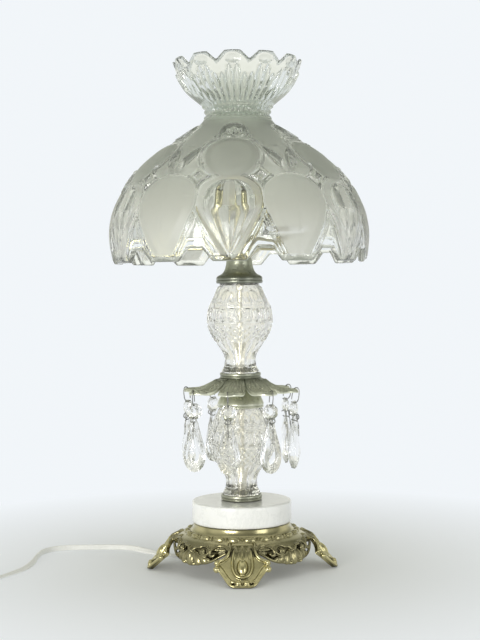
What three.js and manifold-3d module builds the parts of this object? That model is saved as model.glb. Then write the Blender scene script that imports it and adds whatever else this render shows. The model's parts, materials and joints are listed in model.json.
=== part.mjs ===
// Crystal table lamp: cast metal foot, marble disc, two pressed-glass columns on a
// centre pipe, a petalled bobeche with eight hanging prism chains, and a pressed
// glass shade that rests on a three-armed holder over the bulb socket.
// Millimetres, +Z up, origin on the lamp's axis at table level.
// Azimuth 0 faces the front (-Y) and grows towards +X.
import * as THREE from 'three';
import * as BufferGeometryUtils from 'three/addons/utils/BufferGeometryUtils.js';
import Module from 'manifold-3d';

const wasm = await Module();
wasm.setup();

// ---------------------------------------------------------------- dimensions
const GAP = 0.3;              // between pieces that touch
const PIPE_R = 4.75;          // 3/8 inch lamp pipe
const PIPE_BORE_R = 3.3;
const PIPE_HOLE_R = 5.05;     // clearance hole in everything on the pipe
const PIPE_Z = [34.5, 339];

const BASE_TOP = 47.2;        // collar that carries the marble
const FOOT_REACH = 96;
const FEET = [0, 90, 180, 270];

const MARBLE_R = 50.8;        // 4 inch disc
const MARBLE_Z = [47.5, 68.9];

const COLUMN_H = 96;          // both glass columns are the same pressing
const LOWER_Z = 72.5;
const UPPER_Z = 196.3;

const PETALS = 8;
const PETAL_PHASE = -13;
const PETAL_TIP_R = 58.8;
const PETAL_HOLE_R = 55;      // radius of the hook holes' circle
const PETAL_HOLE = 1.9;
const CHAIN_TOP = 180.6;      // hook pivot height
const BEAD_Z = 162.6;         // bead centre
const BEAD_R = 8.4;
const PIN_Z = 156.9;          // bead's lower hole
const DROP_TOP = 154.2;
const DROP_LEN = 52;
const DROP_HALF_W = 11.2;
const DROP_FLAT = 0.42;       // thickness over width
const WIRE_R = 0.45;
const TWIST = [8, -6, -14, -20, 4, 12, 30, 34];   // each chain turned about its own vertical

const HUB_Z = 315.3;
const ARMS = [20, 140, 260];
const ARM_REACH = 121;
const SOCKET_Z = 332.8;
const KNOB_AZ = 110;
const KNOB_Z = 355;
const BULB_TOP = 441;          // a small round bulb, 45 mm across

const SHADE_PHASE = -4;       // azimuth of the front clear panel
const PANELS = 12;
const SHADE_WALL = 5;
const SEAT_Z = 334;           // underside of the seat rib that rests on the arms

const CORD_R = 2.9;           // half the width of the flat cord
const CORD_Z = 3.05;
const COIL = { x: -290.5, y: -75, inner: 23, outer: 42, height: 15.5 };

// ---------------------------------------------------------------- helpers
const rad = THREE.MathUtils.degToRad;
const group = new THREE.Group();

function at(r, az, z = 0) {
  return new THREE.Vector3(r * Math.sin(rad(az)), -r * Math.cos(rad(az)), z);
}

// One closed mesh: shared corners merged, slivers dropped, faces pointing out.
function closed(geometry) {
  let g = geometry.index ? geometry.toNonIndexed() : geometry.clone();
  for (const name of Object.keys(g.attributes)) if (name !== 'position') g.deleteAttribute(name);
  g = BufferGeometryUtils.mergeVertices(g, 1e-4);
  const p = g.attributes.position, idx = g.index.array, keep = [];
  let volume = 0;
  const a = new THREE.Vector3(), b = new THREE.Vector3(), c = new THREE.Vector3();
  for (let i = 0; i < idx.length; i += 3) {
    const [u, v, w] = [idx[i], idx[i + 1], idx[i + 2]];
    if (u === v || v === w || u === w) continue;
    keep.push(u, v, w);
    a.fromBufferAttribute(p, u); b.fromBufferAttribute(p, v); c.fromBufferAttribute(p, w);
    volume += a.dot(b.cross(c));
  }
  if (volume < 0) for (let i = 0; i < keep.length; i += 3) [keep[i], keep[i + 1]] = [keep[i + 1], keep[i]];
  g.setIndex(keep);
  return g;
}

function solid(geometry) {
  const g = closed(geometry);
  return new wasm.Manifold(new wasm.Mesh({
    numProp: 3,
    vertProperties: new Float32Array(g.attributes.position.array),
    triVerts: new Uint32Array(g.index.array),
  }));
}

function surface(manifold) {
  const m = manifold.getMesh();
  const pos = new Float32Array(m.numVert * 3);
  for (let i = 0; i < m.numVert; i++) for (let k = 0; k < 3; k++) pos[3 * i + k] = m.vertProperties[m.numProp * i + k];
  const g = new THREE.BufferGeometry();
  g.setAttribute('position', new THREE.BufferAttribute(pos, 3));
  g.setIndex(Array.from(m.triVerts));
  g.computeVertexNormals();
  return g;
}

// Turned shape: [radius, height] pairs about +Z, vertices start at azimuth phase.
function turned(points, segments, phase = 0) {
  const g = new THREE.LatheGeometry(points.map(([r, z]) => new THREE.Vector2(r, z)), segments);
  g.rotateX(Math.PI / 2);
  g.rotateZ(rad(phase));
  return g;
}

// A turned ring: the profile closes on itself.
const ring = (points, segments, phase = 0) => turned([...points, points[0]], segments, phase);

function shapeOf(points) {
  return new THREE.Shape(points.map(([x, y]) => new THREE.Vector2(x, y)));
}

// A plate outline in (sideways, up), extruded outwards from radius r0 to r1 at an azimuth.
function outward(points, az, r0, r1) {
  const g = new THREE.ExtrudeGeometry(shapeOf(points), { depth: r1 - r0, bevelEnabled: false });
  const s = Math.sin(rad(az)), c = Math.cos(rad(az));
  const m = new THREE.Matrix4().makeBasis(new THREE.Vector3(c, s, 0), new THREE.Vector3(0, 0, 1), new THREE.Vector3(s, -c, 0));
  m.setPosition(at(r0, az));
  return g.applyMatrix4(m);
}

// A side profile in (outwards, up), extruded sideways over a width at an azimuth.
function sideways(points, az, width) {
  const g = new THREE.ExtrudeGeometry(shapeOf(points), { depth: width, bevelEnabled: false });
  g.translate(0, 0, -width / 2);
  const s = Math.sin(rad(az)), c = Math.cos(rad(az));
  const m = new THREE.Matrix4().makeBasis(new THREE.Vector3(s, -c, 0), new THREE.Vector3(0, 0, 1), new THREE.Vector3(-c, -s, 0));
  return g.applyMatrix4(m);
}

// A round rod between two points.
function rod(from, to, r, sides = 12) {
  const g = new THREE.CylinderGeometry(r, r, from.distanceTo(to), sides);
  const q = new THREE.Quaternion().setFromUnitVectors(new THREE.Vector3(0, 1, 0), to.clone().sub(from).normalize());
  g.applyQuaternion(q);
  const mid = from.clone().add(to).multiplyScalar(0.5);
  return g.translate(mid.x, mid.y, mid.z);
}

// A wire or cord of round section along points.
function tube(points, r, sides, steps) {
  const curve = new THREE.CatmullRomCurve3(points, false, 'centripetal');
  const section = new THREE.Shape();
  for (let i = 0; i < sides; i++) {
    const t = (2 * Math.PI * (i + 0.5)) / sides;
    if (i) section.lineTo(r * Math.cos(t), r * Math.sin(t));
    else section.moveTo(r * Math.cos(t), r * Math.sin(t));
  }
  section.closePath();
  return new THREE.ExtrudeGeometry(section, { steps, extrudePath: curve, bevelEnabled: false });
}

function add(name, geometry, { color, roughness = 0.4, metalness = 0, opacity = 1 }) {
  const g = closed(geometry);
  g.computeVertexNormals();
  const material = new THREE.MeshStandardMaterial({ color, roughness, metalness, opacity, transparent: opacity < 1 });
  const mesh = new THREE.Mesh(g, material);
  mesh.name = name;
  group.add(mesh);
  return mesh;
}

const BRASS = { color: 0x8a7a3e, roughness: 0.3, metalness: 1 };
const OLD_BRASS = { color: 0x7d8068, roughness: 0.45, metalness: 0.9 };
const STEEL = { color: 0x8c8e90, roughness: 0.4, metalness: 1 };
const GLASS = { color: 0xe9efe8, roughness: 0.05, metalness: 0, opacity: 0.45 };
const MARBLE = { color: 0xecece6, roughness: 0.3 };
const WHITE = { color: 0xf0efe8, roughness: 0.5 };
const DARK = { color: 0x2a2622, roughness: 0.6 };

// ---------------------------------------------------------------- base casting
{
  const shell = solid(ring([
    [PIPE_HOLE_R, BASE_TOP], [49.3, BASE_TOP], [50.4, 44.8], [53.2, 41.9], [57.4, 39.9], [61.6, 38.4],
    [65.6, 35.4], [68.8, 30.6], [70.9, 24], [71.7, 19.5], [71.2, 16], [69.8, 13.2],
    [67.2, 13.2], [68.5, 16.4], [68.9, 19.5], [68.1, 23.2], [66.4, 27.4], [63.4, 31.6],
    [59.6, 34.6], [55.6, 36.6], [51, 39.4], [46.6, 43.7], [PIPE_HOLE_R, 43.7],
  ], 32, 5.625));
  let body = shell;
  for (const az of FEET) {
    // between the pendants the skirt ends higher
    body = body.subtract(solid(outward([[-38.6, 10], [38.6, 10], [36.5, 16.5], [30, 20], [-30, 20], [-36.5, 16.5]], az, 20, 90)));
    for (const side of [-1, 1]) {
      // pierced window beside each foot
      const win = [];
      for (let i = 0; i < 8; i++) win.push([7.2 * Math.cos((i * Math.PI) / 4), 25.2 + 3.8 * Math.sin((i * Math.PI) / 4)]);
      body = body.subtract(solid(outward(win, az + 19 * side, 50, 90)));
    }
  }
  for (const az of FEET) {
    const side = sideways([
      [60, 38.6], [66.5, 36], [71.5, 32.2], [75.6, 27.6], [79.4, 22.2], [83.4, 16.4], [87.8, 10.6], [92, 5], [FOOT_REACH, 0],
      [87.6, 0], [84, 5.4], [80.4, 11], [76.9, 16.2], [73.4, 21.4], [69.6, 26.2], [65.6, 30], [60, 33],
    ], az, 60);
    const front = outward([
      [-13.4, 38], [13.4, 38], [13.2, 31], [15, 26.6], [20, 23.4], [25.6, 22], [28.8, 18.6], [28.6, 14], [25.4, 12.4],
      [20.8, 10.6], [17, 6.4], [12.6, -1], [-12.6, -1], [-17, 6.4], [-20.8, 10.6], [-25.4, 12.4], [-28.6, 14], [-28.8, 18.6],
      [-25.6, 22], [-20, 23.4], [-15, 26.6], [-13.2, 31],
    ], az, 55, 100);
    body = body.add(solid(side).intersect(solid(front)));
  }
  add('base_casting', surface(body), BRASS);
}

add('base_washer', ring([[PIPE_HOLE_R, 41.7], [13, 41.7], [13, 43.4], [PIPE_HOLE_R, 43.4]], 24), STEEL);
add('base_lock_nut', surface(solid(turned([[0, 38.2], [9.2, 38.2], [9.2, 41.4], [0, 41.4]], 6))
  .subtract(solid(rod(new THREE.Vector3(0, 0, 30), new THREE.Vector3(0, 0, 42), PIPE_HOLE_R, 20)))), STEEL);
add('cord_bushing', turned([
  [0, 31.2], [4.2, 31.2], [5.6, 31.9], [6.3, 33.2], [6.3, 34.2], [3.0, 34.2], [3.0, 38], [0, 38],
], 16), DARK);

add('threaded_pipe', ring([
  [PIPE_R, PIPE_Z[0]], [PIPE_R, PIPE_Z[1]], [PIPE_BORE_R, PIPE_Z[1]], [PIPE_BORE_R, PIPE_Z[0]],
], 24), STEEL);
add('inner_lead', rod(new THREE.Vector3(0, 0, 38.3), new THREE.Vector3(0, 0, 347.2), 2.3, 10), WHITE);

// ---------------------------------------------------------------- marble disc
add('marble_disc', ring([
  [PIPE_HOLE_R, MARBLE_Z[0]], [MARBLE_R - 1.4, MARBLE_Z[0]], [MARBLE_R, MARBLE_Z[0] + 1.4],
  [MARBLE_R, MARBLE_Z[1] - 1.8], [MARBLE_R - 0.6, MARBLE_Z[1] - 0.5], [MARBLE_R - 1.9, MARBLE_Z[1]], [PIPE_HOLE_R, MARBLE_Z[1]],
], 40, 4.5), MARBLE);

// ---------------------------------------------------------------- seat rings, columns, caps
function seatRing(name, z0, height, floor) {
  add(name, ring([
    [PIPE_HOLE_R, z0], [19.8, z0], [20.9, z0 + 0.9], [20.9, z0 + height - 0.8], [20.2, z0 + height], [19.2, z0 + height],
    [19.2, z0 + floor], [PIPE_HOLE_R, z0 + floor],
  ], 24), OLD_BRASS);
}
seatRing('lower_seat_ring', 69.2, 5.8, 2.9);
seatRing('middle_seat_ring', 193.3, 5.8, 2.4);

// Hollow pressed column: the outside tapers to a waist near its foot.
function column(name, z0) {
  const out = [[18.5, 0], [18.5, 2.6], [19, 3.6], [18.4, 5.6], [16.2, 9.7], [15.6, 16], [18.3, 24.7], [23.4, 32.3], [28.1, 39.8],
    [31.7, 47.3], [33.1, 55], [33.1, 60], [31.6, 67.6], [28.8, 76], [24.8, 84.6], [21.1, 90.3], [20.2, 91.2], [20.2, COLUMN_H]];
  const inner = [[16, COLUMN_H], [18, 89], [25, 74], [26.6, 56], [14.5, 32], [8.8, 21], [8.2, 0]];
  add(name, ring([...out, ...inner].map(([r, z]) => [r, z + z0]), 24), GLASS);
}
column('lower_crystal', LOWER_Z);
column('upper_crystal', UPPER_Z);

add('bell_cap', ring([
  [21.3, 163.6], [23.2, 163.6], [23.8, 165], [23.2, 167.8], [20.6, 173], [16.8, 178.8], [13.8, 184.4], [12.4, 190.6],
  [PIPE_HOLE_R, 190.6], [PIPE_HOLE_R, 168.9], [20.9, 168.9],
], 24), OLD_BRASS);

add('neck_cap', ring([
  [21.2, 289.8], [22.9, 289.8], [23.7, 291.2], [23.6, 293.2], [22.6, 296], [21, 298.4], [17.6, 300.4], [15, 303], [13.7, 306.4],
  [13, 311], [12.8, 315], [PIPE_HOLE_R, 315], [PIPE_HOLE_R, 292.6], [20.8, 292.6],
], 24), OLD_BRASS);

// ---------------------------------------------------------------- bobeche
{
  const top = [[PIPE_HOLE_R, 193], [17.5, 193], [24, 191.2], [31, 187.6], [38, 184], [46, 181.9], [PETAL_TIP_R + 1, 181.2]];
  const under = top.map(([r, z]) => [r, z - (r < 20 ? 2.1 : 1.9)]).reverse();
  const dish = solid(ring([...top, ...under], 32, PETAL_PHASE));
  const outline = [];
  for (let i = 0; i < PETALS * 8; i++) {
    const t = (i / 8) % 1;                        // 0 at a petal's tip, 0.5 between petals
    const d = Math.min(t, 1 - t) * 2;             // 0 tip, 1 notch
    const r = 24 + (PETAL_TIP_R - 24) * Math.pow(Math.max(0, 1 - Math.pow(d, 1.9)), 0.62);
    const p = at(r, PETAL_PHASE + (i * 360) / (PETALS * 8));
    outline.push([p.x, p.y]);
  }
  const prism = new THREE.ExtrudeGeometry(shapeOf(outline), { depth: 30, bevelEnabled: false });
  prism.translate(0, 0, 170);
  let body = dish.intersect(solid(prism));
  for (let k = 0; k < PETALS; k++) {
    const az = PETAL_PHASE + (k * 360) / PETALS;
    body = body.subtract(solid(rod(at(PETAL_HOLE_R, az, 170), at(PETAL_HOLE_R, az, 195), PETAL_HOLE, 8)));
  }
  add('bobeche', surface(body), OLD_BRASS);
}

// ---------------------------------------------------------------- eight prism chains
// Each is made hanging on the axis x = y = 0, facing -Y, then turned and moved out.
for (let k = 0; k < PETALS; k++) {
  const az = PETAL_PHASE + (k * 360) / PETALS;
  const place = (g) => {
    g.rotateZ(rad(az + TWIST[k]));
    const p = at(PETAL_HOLE_R, az);
    return g.translate(p.x, p.y, 0);
  };
  const v = (y, z) => new THREE.Vector3(0, -y, z);   // y outwards
  // wire hook: through the petal's hole, over its tip, through the bead's upper hole
  add(`hook_${k + 1}`, place(tube([
    v(-2.2, 172.5), v(-1.6, 176.4), v(-0.3, 180.6), v(1.5, 183.6), v(4.2, 183.9), v(6.1, 181.4), v(6.1, 177), v(4.6, 171.4),
    v(2.6, 168.9), v(0, 168.2), v(-2.7, 169.4),
  ], WIRE_R, 4, 12)), STEEL);
  // octagon bead, axis outwards
  {
    const b = turned([[0, -3.1], [3.8, -3.1], [BEAD_R, -0.9], [BEAD_R, 0.9], [3.8, 3.1], [0, 3.1]], 8, 22.5);
    b.rotateX(Math.PI / 2);
    let s = solid(b.translate(0, 0, BEAD_Z));
    for (const dz of [-5.6, 5.6]) s = s.subtract(solid(rod(new THREE.Vector3(0, -6, BEAD_Z + dz), new THREE.Vector3(0, 6, BEAD_Z + dz), 1.1, 6)));
    add(`bead_${k + 1}`, place(surface(s)), GLASS);
  }
  // wire pin between bead and drop
  add(`pin_${k + 1}`, place(tube([
    v(-2.9, 156.1), v(-1.4, 156.8), v(0.8, 157.2), v(2.9, 156.4), v(3.7, 154), v(3.1, 151.6), v(1.2, 150.5), v(-0.8, 150.6), v(-2.4, 151.4),
  ], WIRE_R, 4, 8)), STEEL);
  // pear drop
  {
    const L = DROP_LEN, W = DROP_HALF_W;
    const prof = [[0, DROP_TOP - L], [0.5 * W, DROP_TOP - L + 1.8], [0.9 * W, DROP_TOP - L + 8.5],
      [W, DROP_TOP - L + 16], [0.88 * W, DROP_TOP - L + 27], [0.46 * W, DROP_TOP - L + 44],
      [0.34 * W, DROP_TOP - 2], [0.24 * W, DROP_TOP], [0, DROP_TOP]];
    const g = turned(prof, 8, 0);
    g.scale(1, DROP_FLAT, 1);
    let s = solid(g);
    s = s.subtract(solid(rod(new THREE.Vector3(0, -6, DROP_TOP - 3.6), new THREE.Vector3(0, 6, DROP_TOP - 3.6), 1.2, 6)));
    add(`drop_${k + 1}`, place(surface(s)), GLASS);
  }
}

// ---------------------------------------------------------------- shade holder
{
  let body = solid(ring([
    [PIPE_HOLE_R, HUB_Z], [12.5, HUB_Z], [14.5, 317], [20.4, 321.6], [22, 324.4], [22, 330.2], [20, 331.6], [14, 332.5], [PIPE_HOLE_R, 332.5],
  ], 20));
  for (const az of ARMS) {
    const arm = sideways([
      [16, 323.6], [60, 323.8], [104, 324.2], [116.4, 324.6], [119.6, 326.2], [ARM_REACH, 329.2], [ARM_REACH + 0.6, SEAT_Z - GAP],
      [115.6, SEAT_Z - GAP], [115.4, 331.4], [112, 330.4], [60, 330.6], [16, 330.6],
    ], az, 3.2);
    const tip = outward([[-5.5, 329.4], [5.5, 329.4], [6.5, SEAT_Z - GAP], [-6.5, SEAT_Z - GAP]], az, 115.8, ARM_REACH + 0.4);
    body = body.add(solid(arm)).add(solid(tip));
  }
  add('shade_holder', surface(body), BRASS);
}

// ---------------------------------------------------------------- bulb socket
const knobHole = solid(rod(at(10, KNOB_AZ, KNOB_Z), at(22, KNOB_AZ, KNOB_Z), 2.5, 12));
add('socket_cap', ring([
  [PIPE_HOLE_R, SOCKET_Z], [8, SOCKET_Z], [13, 334.4], [16.4, 338.6], [17, 342], [17, 346],
  [16.3, 346], [15.6, 339.2], [12.6, 335.7], [8, 334.3], [PIPE_HOLE_R, 334.3],
], 20), BRASS);
add('socket_shell', surface(solid(ring([
  [17, 346.3], [17, 380.8], [17.4, 381.6], [17, 382.4], [16.3, 382.4], [16.3, 346.3],
], 20)).subtract(knobHole)), BRASS);
add('socket_liner', surface(solid(ring([[15.2, 346.8], [16, 346.8], [16, 383.6], [15.2, 383.6]], 20)).subtract(knobHole)), DARK);
add('socket_body', surface(
  solid(turned([[0, 347.5], [14.9, 347.5], [14.9, 360], [4.4, 360], [4.2, 361.4], [3.2, 363.6], [0, 363.6]], 20))
    .subtract(solid(rod(at(6.6, KNOB_AZ, KNOB_Z), at(22, KNOB_AZ, KNOB_Z), 2.5, 12)))), DARK);
add('screw_shell', ring([
  [5, 360.3], [14.3, 360.3], [14.3, 381], [13.5, 381], [13.5, 360.9], [5, 360.9],
], 20), BRASS);
{
  // turn knob with its stem, pointing out of the side of the socket
  const g = turned([
    [0, 7], [1.9, 7], [1.9, 19.2], [3.4, 19.8], [3.4, 22], [2.2, 23], [2.2, 25], [4.6, 26.6], [5.6, 29], [5.8, 34.6],
    [4.6, 37.4], [0, 38.2],
  ], 12);
  const q = new THREE.Quaternion().setFromUnitVectors(new THREE.Vector3(0, 0, 1), at(1, KNOB_AZ).normalize());
  g.applyQuaternion(q);
  add('switch_knob', g.translate(0, 0, KNOB_Z), DARK);
}

// ---------------------------------------------------------------- bulb
add('bulb_cap', turned([
  [0, 364], [4, 364], [5.6, 366], [12.2, 368.4], [13.1, 369.8], [13.1, 383.6], [12.4, 384.6], [12.2, 369.9], [5, 367.6], [0, 367.2],
], 16), STEEL);
add('bulb_glass', turned([
  [11, 375], [11.8, 375], [11.8, 386], [14.2, 395], [20, 405.5], [22.5, 417], [21.4, 427], [17.2, 435], [9.6, 439.8], [0, BULB_TOP],
  [0, BULB_TOP - 0.9], [9.2, 438.9], [16.5, 434.3], [20.5, 426.7], [21.5, 417.1], [19.1, 405.9], [13.3, 395.3], [11, 386.2], [11, 375],
], 16), { color: 0xf4f2ea, roughness: 0.4, opacity: 0.8 });

// ---------------------------------------------------------------- shade
{
  const out = [[127, 311.5], [129, 322.5], [130, 333.5], [128.6, 352.2], [122.8, 370], [109.5, 394.2],
    [90, 414], [66, 431.8], [46, 445], [35.4, 455], [32.3, 461], [34, 467.2], [39.2, 473.2], [48.9, 481.2], [56.2, 490], [61.2, 499.9], [65.4, 513.9]];
  // the inside follows the outside one wall thickness in
  const inner = out.map((p, i) => {
    const a = out[Math.max(0, i - 1)], b = out[Math.min(out.length - 1, i + 1)];
    const dr = b[0] - a[0], dz = b[1] - a[1], l = Math.hypot(dr, dz);
    return [p[0] - (dz / l) * SHADE_WALL, p[1] + (dr / l) * SHADE_WALL];
  });
  inner[0] = [122, 311.5];
  inner[inner.length - 1] = [60.4, 513.9];
  // seat rib inside the mouth, which rests on the arms' tips
  const rib = [[124.9, 341], [120, 337.6], [118.4, 335.8], [118.4, SEAT_Z], [124.6, SEAT_Z]];
  const inside = inner.slice(3).reverse();                 // from the crown down to z = 352
  let body = solid(ring([...out, ...inside, ...rib, inner[1], inner[0]], 36, SHADE_PHASE));
  for (let k = 0; k < PANELS; k++) {
    const az = SHADE_PHASE + 15 + k * 30;
    body = body.subtract(solid(outward([[-18.6, 309.5], [18.6, 309.5], [17, 311.5], [7, 323.9], [-7, 323.9], [-17, 311.5]], az, 100, 145)));
    body = body.subtract(solid(outward([[-1.3, 505.9], [1.3, 505.9], [9.6, 514.5], [9.6, 518.5], [-9.6, 518.5], [-9.6, 514.5]], az, 45, 80)));
  }
  add('shade', surface(body), GLASS);
}

// ---------------------------------------------------------------- free cord
{
  const u = at(1, -124);
  const route = [];
  const R = 25;
  for (let i = 0; i <= 6; i++) {
    const t = (i / 6) * (Math.PI / 2);
    route.push(new THREE.Vector3(u.x * R * (1 - Math.cos(t)), u.y * R * (1 - Math.cos(t)), CORD_Z + R - R * Math.sin(t)));
  }
  route.unshift(new THREE.Vector3(0, 0, 30.9));
  for (const [x, y] of [[-40, 27], [-58, 39], [-74, 49], [-91, 58.5], [-106, 71], [-121, 82], [-142, 86.6], [-168, 87], [-190, 86],
    [-206, 79], [-214.5, 65], [-217, 45], [-217.5, 20], [-221, -6], [-230.5, -28], [-240.5, -47.5], [-245.3, -68]]) {
    route.push(new THREE.Vector3(x, y, CORD_Z));
  }
  add('cord_tube', tube(route, CORD_R, 8, 42), WHITE);
  const c = ring([
    [COIL.inner + 1.5, 0.2], [COIL.outer - 1.5, 0.2], [COIL.outer, 2], [COIL.outer, COIL.height - 5], [COIL.outer - 5, COIL.height],
    [COIL.inner + 5, COIL.height], [COIL.inner, COIL.height - 5], [COIL.inner, 2],
  ], 24);
  add('cord_coil', c.translate(COIL.x, COIL.y, 0), WHITE);
  add('cord_tail', tube([[-329, -51.5], [-329, -47.5], [-329, -43.5]].map(([x, y]) => new THREE.Vector3(x, y, CORD_Z)), CORD_R, 8, 3), WHITE);
  // two-blade plug lying flat beside the coil
  const body = new THREE.ExtrudeGeometry(shapeOf([[-4.2, -43.2], [4.2, -43.2], [6.4, -38], [9.2, -34], [9.6, -27], [9.4, -17.4], [-9.4, -17.4], [-9.6, -27], [-9.2, -34], [-6.4, -38]]),
    { depth: 11.6, bevelEnabled: false });
  body.translate(-329, 0, 0.2);
  let s = solid(body);
  for (const dx of [-6.35, 6.35]) {
    const blade = new THREE.BoxGeometry(1.5, 16.6, 6.3);
    blade.translate(-329 + dx, -17.4 + 7.8, 6);
    s = s.add(solid(blade));
  }
  add('plug', surface(s), WHITE);
}

export default group;
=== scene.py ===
# Looks of the crystal table lamp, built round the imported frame.
# Lengths in the build functions are millimetres; azimuth 0 faces the front (-Y) and grows towards +X.
import json
import math

import bpy
import bmesh
import numpy as np
from mathutils import Matrix, Vector


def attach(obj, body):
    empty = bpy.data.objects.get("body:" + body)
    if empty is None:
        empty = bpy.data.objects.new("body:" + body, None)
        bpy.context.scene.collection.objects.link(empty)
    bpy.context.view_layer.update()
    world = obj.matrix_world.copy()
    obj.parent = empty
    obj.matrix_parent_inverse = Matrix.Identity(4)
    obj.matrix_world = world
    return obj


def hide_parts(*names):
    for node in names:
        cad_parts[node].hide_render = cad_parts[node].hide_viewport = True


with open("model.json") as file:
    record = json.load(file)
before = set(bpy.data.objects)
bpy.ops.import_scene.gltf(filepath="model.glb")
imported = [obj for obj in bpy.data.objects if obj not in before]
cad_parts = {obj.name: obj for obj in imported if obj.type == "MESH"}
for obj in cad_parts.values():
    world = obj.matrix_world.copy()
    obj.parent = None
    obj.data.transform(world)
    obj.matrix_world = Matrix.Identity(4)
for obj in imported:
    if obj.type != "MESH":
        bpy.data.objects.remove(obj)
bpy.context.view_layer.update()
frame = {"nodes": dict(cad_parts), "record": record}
MM = 0.001
RAD = math.pi / 180
rng = np.random.default_rng(7)


# ------------------------------------------------------------------ mesh helpers
def at(r, az, z=0.0):
    return np.array([r * math.sin(az * RAD), -r * math.cos(az * RAD), z])


def polar(R, AZ, Z):
    a = np.asarray(AZ) * RAD
    return np.stack(np.broadcast_arrays(R * np.sin(a), -R * np.cos(a), Z), axis=-1)


def sm(x, a=0.0, b=1.0):
    """Smooth step from 0 at a to 1 at b."""
    t = np.clip((x - a) / (b - a), 0, 1)
    return t * t * (3 - 2 * t)


def bump(x, w):
    return np.exp(-((x / w) ** 2))


def smooth_path(points, step=None, n=None, closed=False):
    """A centripetal Catmull-Rom curve through the points, evenly spaced."""
    p = np.asarray(points, float)
    if closed:
        p = np.vstack([p[-1], p, p[0], p[1]])
    else:
        p = np.vstack([2 * p[0] - p[1], p, 2 * p[-1] - p[-2]])
    out = []
    for i in range(1, len(p) - 2):
        p0, p1, p2, p3 = p[i - 1], p[i], p[i + 1], p[i + 2]
        t0 = 0.0
        t1 = t0 + max(np.linalg.norm(p1 - p0), 1e-6) ** 0.5
        t2 = t1 + max(np.linalg.norm(p2 - p1), 1e-6) ** 0.5
        t3 = t2 + max(np.linalg.norm(p3 - p2), 1e-6) ** 0.5
        t = np.linspace(t1, t2, 17)[:, None]
        a1 = (t1 - t) / (t1 - t0) * p0 + (t - t0) / (t1 - t0) * p1
        a2 = (t2 - t) / (t2 - t1) * p1 + (t - t1) / (t2 - t1) * p2
        a3 = (t3 - t) / (t3 - t2) * p2 + (t - t2) / (t3 - t2) * p3
        b1 = (t2 - t) / (t2 - t0) * a1 + (t - t0) / (t2 - t0) * a2
        b2 = (t3 - t) / (t3 - t1) * a2 + (t - t1) / (t3 - t1) * a3
        c = (t2 - t) / (t2 - t1) * b1 + (t - t1) / (t2 - t1) * b2
        out.append(c[:-1])
    out.append(p[-2][None] if not closed else p[-3][None] * 0 + out[0][0][None])
    q = np.vstack(out)
    d = np.concatenate([[0], np.cumsum(np.linalg.norm(np.diff(q, axis=0), axis=1))])
    if n is None:
        n = max(3, int(round(d[-1] / step)) + 1)
    s = np.linspace(0, d[-1], n)
    return np.stack([np.interp(s, d, q[:, k]) for k in range(q.shape[1])], axis=1)


def volume(V, Q, T):
    v = 0.0
    for F in ([Q[:, [0, 1, 2]], Q[:, [0, 2, 3]]] if len(Q) else []) + ([T] if len(T) else []):
        a, b, c = V[F[:, 0]], V[F[:, 1]], V[F[:, 2]]
        v += float(np.einsum("ij,ij->i", a, np.cross(b, c)).sum())
    return v


def make(name, V, Q=(), T=(), attrs=None, sharp=None, smooth=True):
    """A mesh object from vertices in mm and quads and triangles, its faces turned outwards."""
    V = np.asarray(V, float).reshape(-1, 3)
    Q = np.asarray(Q, np.int64).reshape(-1, 4)
    T = np.asarray(T, np.int64).reshape(-1, 3)
    if volume(V, Q, T) < 0:
        Q, T = Q[:, ::-1], T[:, ::-1]
    me = bpy.data.meshes.new(name)
    me.vertices.add(len(V))
    me.vertices.foreach_set("co", (V * MM).astype(np.float32).ravel())
    loops = np.concatenate([Q.ravel(), T.ravel()]).astype(np.int32)
    me.loops.add(len(loops))
    me.loops.foreach_set("vertex_index", loops)
    nf = len(Q) + len(T)
    me.polygons.add(nf)
    start = np.concatenate([np.arange(len(Q)) * 4, len(Q) * 4 + np.arange(len(T)) * 3]).astype(np.int32)
    me.polygons.foreach_set("loop_start", start)
    me.polygons.foreach_set("use_smooth", np.full(nf, smooth, dtype=bool))
    me.update(calc_edges=True)
    me.validate()
    for key, values in (attrs or {}).items():
        a = me.attributes.new(key, "FLOAT", "POINT")
        a.data.foreach_set("value", np.asarray(values, np.float32).ravel())
    if sharp is not None:
        me.set_sharp_from_angle(angle=sharp * RAD)
    o = bpy.data.objects.new(name, me)
    bpy.context.scene.collection.objects.link(o)
    return o


def wrap_quads(S, A, wrap_s=True):
    """Quads of an S by A grid of vertices that closes round A, and round S too if wrap_s."""
    s = np.arange(S if wrap_s else S - 1)
    a = np.arange(A)
    s0, a0 = np.meshgrid(s, a, indexing="ij")
    s1, a1 = (s0 + 1) % S, (a0 + 1) % A
    return np.stack([s0 * A + a0, s0 * A + a1, s1 * A + a1, s1 * A + a0], axis=-1).reshape(-1, 4)


def profile_normals(P):
    """Unit normals in the (r, z) plane of an open profile, to the right of its run."""
    d = np.gradient(P, axis=0)
    d /= np.maximum(np.linalg.norm(d, axis=1, keepdims=True), 1e-9)
    return np.stack([d[:, 1], -d[:, 0]], axis=1)


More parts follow.
